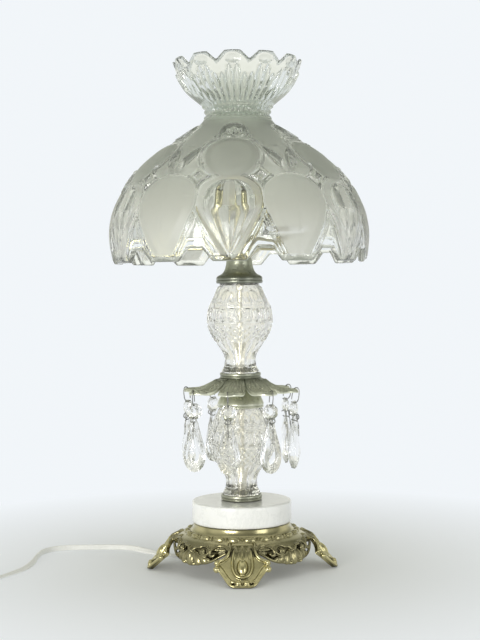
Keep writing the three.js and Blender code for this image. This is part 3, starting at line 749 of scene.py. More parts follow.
def build_shade():
    A = 720
    out = smooth_path(SHADE_OUT, n=900)
    S_all = np.concatenate([[0], np.cumsum(np.linalg.norm(np.diff(out, axis=0), axis=1))])
    L = S_all[-1]
    nrm = profile_normals(out)
    nrm *= np.sign(nrm[450] @ np.array([1.0, 0.6]))
    z_of = lambda s: np.interp(s, S_all, out[:, 1])
    r_of = lambda s: np.interp(s, S_all, out[:, 0])
    s_of_z = lambda z: np.interp(z, out[:, 1], S_all)
    az = -4 + np.arange(A) * 360 / A
    U = ((np.arange(A) * 360 / A + 30) % 60) - 30          # 0 on a clear panel's middle, 30 on a frosted one's
    v = ((np.arange(A) * 360 / A + 15) % 30) - 15          # from the nearest panel's middle
    z_b = 310 + 12.4 * np.clip((np.abs(v) - 7.3) / 4.5, 0, 1)
    z_t = 517.4 - 8.2 * np.clip((np.abs(v) - 6.6) / 7.6, 0, 1) - 0.35 * (v / 6.6) ** 2 * (np.abs(v) < 6.6)
    s_b, s_t = s_of_z(z_b), s_of_z(z_t)
    base = np.concatenate([np.linspace(0, 16, 15)[:-1], np.linspace(16, L - 14, 212)[:-1], np.linspace(L - 14, L, 14)])
    S = base[:, None] + s_b[None, :] * np.clip(1 - base / 46, 0, 1)[:, None] - (L - s_t)[None, :] * np.clip(1 - (L - base) / 42, 0, 1)[:, None]
    R, Z = r_of(S), z_of(S)
    NR, NZ = np.interp(S, S_all, nrm[:, 0]), np.interp(S, S_all, nrm[:, 1])
    u = np.broadcast_to(U[None, :], S.shape)
    a = np.abs(u)
    b = 30 - a
    k = R * RAD
    X, Y = a * k, b * k                                     # mm from the clear and the frosted axis
    C = (a - 15) * k                                        # mm from the panels' common edge

    # outline of both kinds of panel: a balloon that narrows to its tab
    zt = [300, 310, 313, 315, 318.7, 325, 333, 340, 350, 356, 362, 377, 384, 391.5]
    wt_ = [6.9, 6.7, 5.6, 5.4, 6.1, 7.8, 9.4, 11.0, 12.9, 14.1, 15.0, 15.0, 12.2, 0]
    ws = s_of_z(np.array(zt))
    W = np.interp(S, ws, wt_)
    s0, top_h = float(s_of_z(369.5)), float(s_of_z(391.5) - s_of_z(369.5))
    wfine = smooth_path(np.column_stack([ws[:12], wt_[:12]]), n=300)
    W = np.where(S < ws[11], np.interp(S, wfine[:, 0], wfine[:, 1]), W)

    def balloon(D):                                         # D: mm from the panel's axis
        half = 15.1 * r_of(s0) * RAD
        ell = np.sqrt((D / half) ** 2 + ((S - s0) / top_h) ** 2)
        up = (1 - ell) * top_h * 0.95
        low = (W * k - D) * 0.93
        return np.where(S > s0, up, low)

    dc, df = balloon(X), balloon(Y)
    h = np.full(S.shape, -0.5)
    frost = np.zeros(S.shape)

    # frosted balloon: a soft pillow with a faint crease
    inf = sm(df, -0.6, 1.2)
    pil = -0.3 + 2.1 * sm(df, 0.0, 10.0) - 0.30 * bump(Y, 1.5) * sm(df, 3, 9)
    h = h * (1 - inf) + pil * inf
    frost = np.maximum(frost, sm(df, -0.6, 1.2) * sm(Z, 313.2, 315.6))
    # its clear bevelled border: two fine ridges outside the outline
    zone = sm(df, -9, -7) * (1 - inf) * (1 - sm(dc, -0.6, 1.2))
    h += zone * (0.95 * bump(df + 2.6, 0.8) + 0.75 * bump(df + 5.6, 0.8)) * (1 - sm(Z, 352, 360))
    zone = sm(dc, -9, -7) * (1 - inf) * (1 - sm(dc, -0.6, 1.2))
    h += zone * (0.95 * bump(dc + 2.6, 0.8)) * (1 - sm(Z, 352, 360))

    # clear balloon: bevelled sides, an inner field with a crease, and a fan cut below
    inc = sm(dc, -0.5, 0.9)
    body = -0.9 + 2.1 * np.clip(dc / 8.5, 0, 1) + 0.25 * bump(dc - 8.7, 0.7)
    apex = 313.0
    t = np.clip((Z - apex) / (361.5 - apex), 0, 1.2)
    wedge = np.maximum(14.0 * t, 0.05)                      # half width of the inner V in degrees
    q = a / wedge
    facet = wedge * k / 3.0
    saw = np.abs(((q * 3 + 1) % 2) - 1)                     # 1 on the rays, 0 between
    fan = 0.2 + np.minimum(1.9, 0.36 * facet) * (saw - 0.5) * 1.6 + 0.6
    vlow = (1 - sm(Z, 350, 363)) * (1 - sm(q, 0.96, 1.10))
    side = 1.0 - 1.9 * sm((a - wedge) * k, 0.0, 7.5) + 1.1 * bump((a - wedge) * k - 0.6, 0.9)
    lower = np.where(q < 1.03, fan, side)
    mixl = 1 - sm(Z, 352, 364)
    # inner field: a flat upright strip between two hollow flutes, each of which shows a small picture of the socket
    fieldw = np.clip(W * k - 8.5, 4, None)
    flute_ = np.clip(1 - ((X - 0.62 * fieldw) / (0.335 * fieldw)) ** 2, 0, 1)
    upper = np.minimum(body, 1.2) - sm(dc, 7.5, 9.5) * (2.5 * flute_ + 0.3 * bump(X, 0.7))
    strip = sm(dc, 8, 11) * (1 - sm(X, 0.2 * fieldw, 0.28 * fieldw)) * (1 - mixl)
    clear_h = upper * (1 - mixl) + lower * mixl
    clear_h = np.minimum(clear_h, -0.9 + 2.6 * np.clip(dc / 3.0, 0, 1) + 0 * h)
    h = h * (1 - inc) + clear_h * inc
    frost = np.maximum(frost, 0.50 * inc * mixl * sm(Z, 313, 318) * sm(dc, 1.5, 3.5))
    frost = np.maximum(frost, 0.80 * strip)
    frost = np.maximum(frost, 0.72 * inc * sm(dc, 1.2, 2.6) * (1 - sm(dc, 7.0, 8.6)))

    # four-pointed star between four panels
    s_star = float(s_of_z(387.5))
    y2 = S - s_star
    out_c, out_f = 1 - sm(dc, -1.6, 0.2), 1 - sm(df, -1.6, 0.2)
    gx, gy = np.abs(C) / 16.5, np.abs(y2 - 1.2) / np.where(y2 > 1.2, 21.0, 16.0)
    star = np.clip(1 - gx ** 0.62 - gy ** 0.62, 0, 1)
    h += out_c * out_f * 2.6 * sm(star, 0.0, 0.16)
    frost = np.maximum(frost, 0.62 * out_c * out_f * (1 - sm(star, 0.0, 0.10)) * (1 - sm(np.abs(y2), 15, 19)))
    pit = np.clip(1 - (np.abs(C) + np.abs(y2 - 1.2)) / 4.8, 0, 1)
    h -= 2.6 * sm(pit, 0, 0.35)
    frost = np.maximum(frost, 0.9 * sm(pit, 0.12, 0.3))

    # frosted oval over each clear panel, with its border arcs
    s1 = float(s_of_z(409.8))
    hy = float(s_of_z(431) - s_of_z(389.4)) / 2
    rho = np.sqrt((X / 26.8) ** 2 + ((S - s1) / hy) ** 2)
    do = (1 - rho) * 26.8
    ino = sm(do, -0.4, 0.8) * sm(S, s_of_z(386.0), s_of_z(390))
    h = h * (1 - ino) + (-0.5 + 2.4 * sm(do, 0, 9)) * ino
    arc = bump(do + 3.4, 1.0) * sm(S, s_of_z(395), s_of_z(402)) * (1 - sm(S, s_of_z(426), s_of_z(432)))
    h += 0.9 * arc
    frost = np.maximum(frost, 0.5 * sm(do, -5.6, -4.6) * (1 - ino) * sm(S, s_of_z(398), s_of_z(404)))
    frost = np.maximum(frost, sm(do, 0.3, 2.0) * ino)
    # small upright lens beside the border, computed but given no depth
    lens_c, lens_s = (a - 18.6) * k, S - float(s_of_z(413.8))
    lens = np.clip(1 - (lens_c / 2.6) ** 2 - (lens_s / 8.5) ** 2, 0, 1)
    h -= 0.0 * lens

    # pairs of cut leaves over each frosted panel
    sA, sB = float(s_of_z(391.5)), float(s_of_z(420.5))
    ax0, ax1 = 2.6, 9.6 * float(r_of(sB)) * RAD
    dx, dy = ax1 - ax0, sB - sA
    ln = math.hypot(dx, dy)
    pp = ((Y - ax0) * dx + (S - sA) * dy) / ln
    qq = (-(Y - ax0) * dy + (S - sA) * dx) / ln
    hw = 6.3 * np.clip(1 - (2 * pp / ln - 1) ** 2, 0, 1)
    inside = np.clip(hw - np.abs(qq), 0, None)
    leaf = np.where(hw > 0, np.clip(1 - np.abs(qq) / np.maximum(hw, 0.1), 0, 1), 0)
    h += -2.6 * leaf ** 1.3 * np.clip(hw / 3.4, 0, 1) + 1.1 * bump(np.abs(qq) - hw - 0.3, 1.1) * sm(pp, 0, 4) * (1 - sm(pp, ln - 4, ln))
    # frosted ground between and round the leaves
    ground = sm(S, float(s_of_z(394)), float(s_of_z(399))) * (1 - sm(S, float(s_of_z(452)), float(s_of_z(459)))) * (1 - sm(inside, 0.0, 0.7)) * sm(-do, 5.0, 7.5)
    frost = np.maximum(frost, 0.85 * ground)
    # short stroke and a small boss above the leaves
    h += 1.1 * bump(S - float(s_of_z(421.5)), 1.1) * (1 - sm(Y, 2.2, 4.2))
    h += 1.3 * bump(C, 2.2) * bump(S - float(s_of_z(426.5)), 2.4) - 1.6 * bump(C, 1.0) * bump(S - float(s_of_z(426.5)), 1.2)
    h += 0.8 * bump((a - 21.5) * k, 1.5) * bump(S - float(s_of_z(423.5)), 3.0)

    # arch of rays at the shoulder, over the oval
    sr = float(s_of_z(432.5))
    ex, ey = X / 13.0, (S - sr) / 23.5
    rr = np.hypot(ex, ey)
    ph = np.arctan2(ex, ey + 1e-6)
    arch = (S > sr - 0.5) * 1.0
    inner_ = 1 - sm(rr, 0.78, 0.92)
    rays = (0.5 + 0.5 * np.cos(ph * 9)) * sm(rr, 0.12, 0.3) * inner_
    h += arch * (1.2 * rays - 1.5 * inner_ + 1.9 * bump(rr - 1.05, 0.10))
    beads = bump(np.hypot(((X + 2.2) % 4.4) - 2.2, S - sr + 1.6), 1.35) * (X < 19.5)
    h += 1.0 * beads
    frost *= 1 - 0.9 * sm(beads, 0.1, 0.5)
    frost *= 1 - arch * (1 - sm(rr, 1.08, 1.2)) * sm(S, sr, sr + 2)

    # neck beads
    for zc, count, rad_, hh in ((457.2, 36, 1.8, 1.5), (463.2, 40, 2.1, 2.2), (469.0, 40, 1.9, 1.8)):
        pitch_ = 360 / count
        w = (((az[None, :] + 4) + pitch_ / 2) % pitch_ - pitch_ / 2) * k
        h += hh * bump(np.hypot(w, S - float(s_of_z(zc))), rad_)
    frost *= 1 - sm(Z, 457, 461)

    # crown: 48 pointed flutes, a thumbprint under each scallop
    vv = np.broadcast_to(v[None, :], S.shape)
    f = ((vv + 15) % 7.5) - 3.75                             # degrees from the flute's middle
    which = np.abs(np.floor((vv + 15) / 7.5) * 7.5 - 11.25)   # 3.75 on the middle pair, 11.25 on the outer
    tip = np.where(which < 6, 504.5, 496.5)
    close = np.clip((s_of_z(tip) - S) / 11.0, 0, 1) ** 0.6
    wid = 3.55 * close
    rib = np.clip(1 - (f / np.maximum(wid, 0.05)) ** 2, 0, 1)
    crown = sm(Z, 469.5, 473.5)
    gap = bump(np.abs(f) - wid - 0.15, 0.42) * sm(tip - Z, -1, 2)
    h += crown * (1.95 * rib - 0.6 * sm(tip - Z, 0, 4) - 1.15 * gap)
    thumb_s = S - (s_t[None, :] * 0 + float(s_of_z(510.2)))
    thumb = np.clip(1 - (vv * k / 8.8) ** 2 - (thumb_s / 5.6) ** 2, 0, 1)
    h -= 1.9 * thumb
    frost = np.maximum(frost, 0.34 * sm(thumb, 0.1, 0.5))
    h += 0.5 * bump(s_t[None, :] - S, 1.1)
    # rims stay thin and plain at the very edges
    h *= sm(S - s_b[None, :], 0.0, 3.0) * sm(s_t[None, :] - S, -0.5, 1.4)
    frost *= sm(S - s_b[None, :], 3.0, 5.5)
    Po = polar(R + NR * h, az[None, :], Z + NZ * h)

    # inside: smooth, with the seat rib that rests on the holder
    wall = 4.6
    inn = np.column_stack([out[:, 0] - nrm[:, 0] * wall, out[:, 1] - nrm[:, 1] * wall])
    keep = inn[:, 1] > 340
    up_in = inn[keep]
    up_in = up_in[up_in[:, 1] < 517.0]
    up_in = smooth_path(up_in[::24], n=60)
    rib_p = np.array([(124.6, 340.1), (123.0, 338.9), (120.6, 336.9), (118.9, 335.1), (118.3, 333.9), (118.6, 332.8), (119.6, 332.5), (122.2, 332.5),
                      (123.9, 332.3), (124.1, 330.9), (124.0, 327), (123.6, 322), (122.8, 316), (122.2, 310.2)])
    prof_in = np.vstack([up_in[::-1], rib_p])
    Ri = np.repeat(prof_in[:, :1], A, 1)
    # the rib is three seats, one over each arm; elsewhere the wall runs on smoothly
    plain_r = np.interp(prof_in[:, 1], [310.2, 316, 322, 332, 341], [122.2, 122.8, 123.6, 124.7, 124.9])
    near_arm = np.min([np.abs(((az - q + 180) % 360) - 180) for q in (20, 140, 260)], axis=0)
    flat = sm(near_arm, 6.5, 11.0)[None, :] * (prof_in[:, 1:] < 341)
    Ri = Ri * (1 - flat) + plain_r[:, None] * flat
    Zi = np.repeat(prof_in[:, 1:], A, 1)
    # the inner rim rows follow the notches and scallops
    wlow = np.clip((329.4 - Zi) / (329.4 - 310.2), 0, 1)
    Zi = Zi + wlow * (z_b - 310)[None, :] * 1.0
    wtop = np.clip((Zi - 484) / (517.0 - 484), 0, 1)
    drop = (517.4 - z_t)[None, :]
    Zi = Zi - wtop * drop
    Ri = Ri - wtop * drop * 0.28
    Pi = polar(Ri, az[None, :], Zi)
    # rounded lips between outside and inside
    def lip(P0, P1, outward, rows=3):
        rows_ = []
        mid = (P0 + P1) / 2
        half = (P0 - P1) / 2
        hl = np.linalg.norm(half, axis=1, keepdims=True)
        for i in range(1, rows + 1):
            th = math.pi * i / (rows + 1)
            rows_.append(mid + half * math.cos(th) + outward * hl * 0.62 * math.sin(th))
        return np.stack(rows_)
    topdir = np.array([0, 0, 1.0])
    top = lip(Po[-1], Pi[0], topdir)
    bot = lip(Pi[-1], Po[0], -topdir)
    P = np.concatenate([Po, top, Pi, bot])
    P[..., 2] = np.interp(P[..., 2], [300, 332, 351, 369, 393.5, 431.5, 445, 462, 470, 487, 503, 517.4, 521],
                          [301.5, 333.5, 352.2, 370, 394.2, 431.8, 445, 462, 469.5, 485.4, 500.4, 513.9, 517.2])
    fr = np.zeros(P.shape[:2])
    fr[: len(Po)] = frost
    o = make("glass_shade", P, wrap_quads(len(P), A), attrs={"frost": fr}, sharp=50)
    # the seat rib stops at the holder's tips: nothing else is under it
    return dress(o, "shade", "shade_glass", "shade")


shade = build_shade()


# ------------------------------------------------------------------ pressed glass columns
COLUMN_OUT = [(18.2, 0), (18.5, 0.5), (18.5, 2.6), (19.0, 3.6), (18.6, 5.4), (17.4, 7.4), (16.2, 9.9), (15.6, 13.4), (15.5, 17.0), (16.3, 20.4), (18.3, 24.7), (20.8, 28.6),
              (23.4, 32.3), (25.9, 36.0), (28.1, 39.8), (30.1, 43.6), (31.7, 47.3), (32.7, 51.2), (33.1, 55.4), (33.1, 60), (32.6, 64), (31.6, 68.2), (30.4, 72),
              (28.8, 76), (26.9, 80.2), (24.8, 84.6), (22.6, 88.2), (21.1, 90.3), (20.2, 91.4), (20.2, 95.5), (19.9, 96)]


def build_column(name, z0, phase, node):
    A = 432
    out = smooth_path(COLUMN_OUT, n=150)
    inner = smooth_path([(15.6, 96), (16.4, 93), (18, 89), (21.6, 82), (25, 74), (26.6, 64), (26.6, 56), (23.4, 47), (19, 39), (14.5, 32), (10.6, 25.5), (8.8, 21), (8.3, 12), (8.2, 0)], n=44)
    n = profile_normals(out)
    n *= np.sign(n[75, 0])
    az = np.arange(A) * 360 / A
    R, Z = np.repeat(out[:, :1], A, 1), np.repeat(out[:, 1:], A, 1)
    k = R * RAD
    h = np.zeros(R.shape)
    g = ((az[None, :] + 15) % 30) - 15                     # 12 bays
    # flutes from the foot to under the diamonds
    flute = 1 - np.abs(g / 15) ** 2.2
    h += (1.25 * flute - 0.7) * sm(Z, 8.5, 12) * (1 - sm(Z, 31, 36))
    # diamond band
    p_ = az[None, :] * 24 / 360 + Z / 6.6
    q_ = az[None, :] * 24 / 360 - Z / 6.6
    dia = 0.5 - np.maximum(np.abs(p_ % 1 - 0.5), np.abs(q_ % 1 - 0.5))
    dband = sm(Z, 33.5, 35.5) * (1 - sm(Z, 50.5, 52.5))
    h += dband * (5.6 * dia - 1.1)
    # girdle: raised band with oval thumbprints and block windows in turn
    girdle = sm(Z, 52.2, 54.0) * (1 - sm(Z, 70.2, 72.0))
    h += 0.5 * girdle
    g2 = ((az[None, :] + 15) % 30) - 15
    ov = np.clip(1 - (g2 * k / 4.6) ** 2 - ((Z - 62) / 7.2) ** 2, 0, 1)
    h -= 2.2 * sm(ov, 0, 0.55)
    g3 = (az[None, :] % 30) - 15
    blk = sm(3.1 - np.abs(g3 * k), -0.3, 0.6) * sm(6.6 - np.abs(Z - 62), -0.3, 0.6)
    h -= 1.6 * blk
    h += 1.3 * sm(1.3 - np.abs(g3 * k), -0.3, 0.6) * sm(5.2 - np.abs(Z - 62), -0.3, 0.6)
    h += girdle * 0.6 * (bump(Z - 53.6, 0.7) + bump(Z - 70.4, 0.7))
    # shoulder: large oval facets between ribs
    fa = np.clip(1 - (g * k / 7.0) ** 2 - ((Z - 79.8) / 7.6) ** 2, 0, 1)
    h += 0.6 * sm(Z, 71.5, 73) * (1 - sm(Z, 88, 90)) - 1.7 * sm(fa, 0, 0.6)
    # dots and ring under the cap
    w24 = ((az[None, :] + 7.5) % 15 - 7.5) * k
    h += 1.2 * bump(np.hypot(w24, Z - 89.4), 1.5)
    h *= 0.5 * sm(Z, 4.5, 8) * (1 - sm(Z, 90.4, 91.4)) * (1 + 0.9 * girdle)
    Po = polar(R + n[:, :1] * h, az[None, :] + phase, Z + n[:, 1:] * h + z0)
    # the inside follows the bays faintly, as a pressing does
    Ri, Zi = np.repeat(inner[:, :1], A, 1), np.repeat(inner[:, 1:], A, 1)
    Ri = Ri + 0.35 * np.cos(az[None, :] * 12 * RAD) * sm(Zi, 6, 20) * (1 - sm(Zi, 80, 92))
    Pi = polar(Ri, az[None, :] + phase, Zi + z0)
    P = np.concatenate([Po, Pi])
    o = make(name, P, wrap_quads(len(P), A), sharp=42)
    return dress(o, "lamp", "column_glass", node)


build_column("upper_glass_column", 196.3, 0.0, "upper_crystal")
build_column("lower_glass_column", 72.5, 4.0, "lower_crystal")

# ------------------------------------------------------------------ marble, rings, caps
marble = lathe("marble_top", smooth_path([(5.05, 47.6), (20, 47.52), (49.3, 47.5), (50.3, 47.8), (50.8, 48.8), (50.8, 56), (50.8, 66.6), (50.6, 67.8), (50.1, 68.5),
               (49.2, 68.85), (48, 68.9), (20, 68.9), (5.05, 68.9)], n=110).tolist(), A=160, sharp=40)
dress(marble, "lamp", "marble", "marble_disc")


def seat(name, z0, height, node, floor=2.4):
    prof = smooth_path([(5.05, z0), (18.6, z0), (19.8, z0 + 0.1), (20.7, z0 + 0.6), (20.95, z0 + 1.4), (20.4, z0 + 2.0), (20.3, z0 + 2.5), (20.8, z0 + 3.0),
                        (20.9, z0 + height - 1.2), (20.6, z0 + height - 0.3), (20.0, z0 + height), (19.4, z0 + height), (19.2, z0 + height - 0.3)], n=60).tolist()
    prof += [(19.2, z0 + floor + 0.1), (19.1, z0 + floor), (5.05, z0 + floor)]
    o = lathe(name, prof, A=144, sharp=50)
    return dress(o, "lamp", "antique_brass", node)


seat("lower_ring", 69.2, 5.8, "lower_seat_ring", 2.9)
seat("middle_ring", 193.3, 5.8, "middle_seat_ring")

bell = smooth_path([(20.9, 169.0), (21.2, 166.4), (21.3, 163.9), (21.6, 163.6), (22.8, 163.6), (23.4, 164.1), (23.5, 164.9), (23.0, 165.5), (22.9, 165.9), (23.4, 166.5),
                    (23.6, 167.4), (23.3, 168.6), (22.3, 171.2), (20.8, 174.2), (18.9, 177.2), (17.0, 180.0), (15.3, 182.8), (14.0, 185.4), (13.0, 188.0), (12.5, 190.0), (12.2, 190.6)], n=120).tolist()
bell += [(5.05, 190.6), (5.05, 187.6), (9.5, 187.4), (11.5, 184), (14.5, 179), (18.5, 173.2), (20.2, 170.4)]
dress(lathe("bell_shaped_cap", bell, A=160, sharp=50), "lamp", "antique_brass", "bell_cap")

neck = smooth_path([(20.8, 292.6), (21.1, 291.2), (21.2, 290.0), (21.6, 289.8), (22.6, 289.8), (23.4, 290.3), (23.7, 291.3), (23.7, 292.3), (23.5, 292.8), (23.25, 293.1), (23.25, 293.5), (23.5, 294.1),
                    (23.4, 295.4), (22.7, 296.6), (21.2, 297.8), (18.6, 299.0), (16.7, 300.8), (15.3, 303.0), (14.3, 305.6), (13.6, 308.4), (13.2, 311.4), (12.95, 313.6), (12.8, 314.7), (12.4, 315)], n=130).tolist()
neck += [(5.05, 315), (5.05, 312), (10.4, 311.8), (11.6, 306.6), (13.6, 301.2), (17.4, 296.8), (20.0, 294.2)]
dress(lathe("neck_bell_cap", neck, A=160, sharp=50), "lamp", "antique_brass", "neck_cap")


# ------------------------------------------------------------------ bobeche
def build_bobeche():
    A = 960
    az = -13 + np.arange(A) * 360 / A
    tt = (np.arange(A) / A * 8) % 1
    d = np.minimum(tt, 1 - tt) * 2                          # 0 at a tip, 1 between petals
    side = np.where(tt < 0.5, tt, tt - 1) * 2
    r_out = 24 + 34.8 * np.power(np.clip(1 - d ** 1.9, 0, 1), 0.62)
    r_out += 0.9 * bump(d, 0.10)                            # a small point at the tip
    centre = np.array([(5.05, 193.0), (12, 193.0), (17.5, 193.0), (19.4, 193.0), (22, 192.5), (26, 190.9), (30.7, 188.2), (38, 184.6), (43.5, 182.8), (48, 182.3), (52, 182.3),
                       (55.5, 181.9), (58.2, 181.0), (60.5, 180.2)])
    f = np.concatenate([np.linspace(0, 0.30, 14)[:-1], np.linspace(0.30, 1.0, 64)])
    R = 5.05 + (r_out - 5.05)[None, :] * f[:, None]
    Z = np.interp(R, centre[:, 0], centre[:, 1])
    w = np.abs(side)[None, :] * 22.5 * R * RAD              # mm from the petal's middle line
    edge = (r_out[None, :] - R)
    # distance to the petal's edge, across as well as along
    half = np.interp(R, np.sort(r_out[: A // 16]), np.linspace(1, 0, A // 16)) * 22.5 * R * RAD
    dist = np.minimum(edge, np.clip(half - w, 0, None) * 0.9 + 0.0)
    dist = np.where(R < 25.5, np.minimum(edge, 9), dist)
    petal = sm(R, 21.5, 27)
    Z = Z - petal * 2.2 * (w / 13.0) ** 2 * sm(R, 24, 34)
    rel = petal * (1.15 * bump(dist - 1.0, 0.95) - 0.55 * bump(dist - 3.3, 1.2))
    rel += petal * (1.0 * bump(w, 0.75) * (1 - sm(R, 50, 54)))
    for q in (0.34, 0.66):
        rel += petal * 0.55 * bump(w - q * half, 0.8) * sm(half, 3, 6) * (1 - sm(R, 46, 51))
    vein = np.sin((R - 0.9 * w) * 1.35)
    rel += petal * 0.22 * vein * sm(w, 0.8, 2.4) * sm(dist, 2.0, 4.0)
    rel += 0.8 * bump(R - 21.2, 0.9) + 0.35 * bump(R - 23.4, 0.7)
    hole = np.hypot(R - 55, w)
    rel += 0.5 * bump(hole - 2.6, 0.8)
    rel -= 0.9 * (1 - sm(hole, 1.1, 2.0))
    rel *= 1.4 * sm(edge, 0, 0.9)
    top = polar(R, az[None, :], Z + rel - 0.1)
    under = polar(R, az[None, :], Z - 1.75 - 0.1 + 0.35 * np.clip(rel, -1, 0.6))[::-1]
    mid_out = polar(r_out + 0.45, az, Z[-1] - 0.9)[None]
    P = np.concatenate([top, mid_out, under])
    o = make("petal_bobeche", P, wrap_quads(len(P), A), sharp=60)
    return dress(o, "lamp", "antique_brass", "bobeche")


build_bobeche()

# ------------------------------------------------------------------ prism chains
TWIST = [8, -6, -14, -20, 4, 12, 52, 46]


def placed(V, az, twist):
    """From a chain's own frame (x sideways, y outwards, z up) to the lamp's."""
    V = np.asarray(V, float)
    c, s = math.cos((az + twist) * RAD), math.sin((az + twist) * RAD)
    x, y = V[..., 0], -V[..., 1]
    p = at(55, az)
    return np.stack([x * c - y * s + p[0], x * s + y * c + p[1], V[..., 2]], axis=-1)


def faceted(rings, hole_z=None):
    """Rings of equal count from front to back, flat shaded, closed by a point or a flat table at each end."""
    n = len(rings[0])
    V = np.vstack([np.vstack(rings), rings[0].mean(0), rings[-1].mean(0)])
    S = len(rings)
    Q = wrap_quads(S, n, wrap_s=False)
    k = np.arange(n)
    T = np.vstack([
        np.stack([np.full(n, S * n), (k + 1) % n, k], 1),
        np.stack([np.full(n, S * n + 1), (S - 1) * n + k, (S - 1) * n + (k + 1) % n], 1),
    ])
    return V, Q, T


def octagon(k, az, tw):
    rings = []
    for y, r, turn in ((3.2, 3.5, 0.5), (2.2, 5.6, 0.0), (0.55, 8.5, 0.5), (-0.55, 8.5, 0.5), (-2.2, 5.6, 0.0), (-3.2, 3.5, 0.5)):
        aa = np.arange(8) * math.pi / 4 + math.pi / 8 + (0 if turn else math.pi / 8)
        rr = r / math.cos(math.pi / 8) if not turn else r
        rings.append(np.stack([rr * np.cos(aa), np.full(8, y), 162.6 + rr * np.sin(aa)], 1))
    V, Q, T = faceted(rings)
    return make(f"octagon_{k}", placed(V, az, tw), Q, T, smooth=False)


def drop(k, az, tw):
    L, W, top = 52, 11.2, 154.2
    prof = smooth_path([(0.0, top - L - 0.2), (0.30 * W, top - L + 0.5), (0.62 * W, top - L + 3.2), (0.88 * W, top - L + 8.2), (W, top - L + 15.5), (0.93 * W, top - L + 23), (0.72 * W, top - L + 32),
                        (0.50 * W, top - L + 41), (0.37 * W, top - 5), (0.30 * W, top - 1.2), (0.16 * W, top)], n=13)
    right = prof[1:-1]
    outline = np.vstack([[prof[0]], right, [[prof[-1][0], prof[-1][1]]], [[-prof[-1][0], prof[-1][1]]], np.column_stack([-right[::-1, 0], right[::-1, 1]])])
    n = len(outline)
    c = np.array([0, top - L + 17.5])
    rings = []
    for y, sc, sh in ((4.4, 0.50, 0), (2.9, 0.76, 0.5), (0.75, 1.02, 0), (-0.75, 1.02, 0), (-2.9, 0.76, 0.5), (-4.4, 0.50, 0)):
        o = outline if sh == 0 else (outline + np.roll(outline, -1, 0)) / 2
        q = c + (o - c) * np.array([sc, sc if sc == 1.0 else sc * 1.0])
        thick = np.where(q[:, 1] > top - 14, np.clip((top - q[:, 1]) / 14, 0.32, 1), 1) if abs(y) > 1 else 1.0
        rings.append(np.stack([q[:, 0], np.full(n, y) * thick, q[:, 1]], 1))
    V, Q, T = faceted(rings)
    return make(f"pear_drop_{k}", placed(V, az, tw), Q, T, smooth=False)


for k in range(8):
    az = -13 + 45 * k
    tw = TWIST[k]
    o = octagon(k + 1, az, tw)
    dress(o, f"chain_{k + 1}", "prism_glass", f"bead_{k + 1}")
    o = drop(k + 1, az, tw)
    dress(o, f"pendant_{k + 1}", "prism_glass", f"drop_{k + 1}")
    h_ = Heap()
    route = [(0, y, z) for y, z in [(-2.2, 172.5), (-1.6, 176.4), (-0.3, 180.6), (1.5, 183.4), (4.2, 183.9), (6.0, 181.4), (6.0, 177), (4.8, 171.4), (2.6, 168.9), (0, 168.2), (-2.7, 169.4)]]
    h_.tube(smooth_path(route, step=0.8), 0.5, 8)
    hook = h_.object(f"wire_hook_{k + 1}")
    hook.data.transform(Matrix.Identity(4))
    V = np.array([v.co for v in hook.data.vertices]) / MM
    hook.data.vertices.foreach_set("co", (placed(V, az, tw) * MM).astype(np.float32).ravel())
    dress(hook, f"chain_{k + 1}", "hook_wire", f"hook_{k + 1}")
    h_ = Heap()
    # bow-tie clip over the bead's lower hole, then a long pin down the face of the drop
    route = [(0, y, z) for y, z in [(-3.9, 156.3), (-2.4, 156.9), (0, 157.1), (2.6, 156.6), (4.1, 154.2), (4.0, 151.6), (3.2, 149.8)]]
    h_.tube(smooth_path(route, step=0.7), 0.5, 8)
    for sx in (-1, 1):
        h_.tube(smooth_path([(0, 4.0, 157.2), (sx * 2.2, 4.3, 155.6), (sx * 2.9, 4.3, 153.2), (sx * 1.4, 4.2, 152.2), (0, 4.1, 151.4)], step=0.6), 0.55, 8)
    h_.tube(smooth_path([(0, -2.6, 151.6), (0, -0.8, 150.6), (0, 1.2, 150.5), (0, 3.0, 150.6), (0, 4.2, 149.6), (0, 4.9, 145), (0, 5.3, 140), (0, 5.3, 135.4)], step=0.7), 0.5, 8)
    h_.ball((0, 5.0, 144.2), (1.15, 0.8, 2.3), n=10, m=7)
    pin = h_.object(f"wire_pin_{k + 1}")
    V = np.array([v.co for v in pin.data.vertices]) / MM
    pin.data.vertices.foreach_set("co", (placed(V, az, tw) * MM).astype(np.float32).ravel())
    dress(pin, f"pendant_{k + 1}", "hook_wire", f"pin_{k + 1}")

# ------------------------------------------------------------------ base casting
def turn(P, az):
    """From a foot's own frame (outwards, sideways, up) to the lamp's."""
    P = np.asarray(P, float)
    s_, c_ = math.sin(az * RAD), math.cos(az * RAD)
    return np.stack([P[..., 0] * s_ + P[..., 1] * c_, -P[..., 0] * c_ + P[..., 1] * s_, P[..., 2]], axis=-1)


FOOT_SIDE = np.array([(96.0, 0.0), (92.3, 4.6), (88.2, 10.2), (83.8, 16.2), (79.7, 22.2), (76.0, 27.2), (72.8, 30.6), (67.5, 33.3), (60.5, 35.3), (55.5, 36.6)])
FOOT_WIDE = np.array([(0, 8.2), (1.2, 9.4), (3.0, 11.2), (5.5, 13.8), (8.5, 16.6), (11, 18.8), (13, 20.6), (15, 22.0), (16.6, 23.6), (18.2, 25.8), (20.2, 26.8), (22, 24.4),
                      (24, 19.4), (27, 15.4), (31, 13.2), (35, 12.6), (38.5, 12.8)])


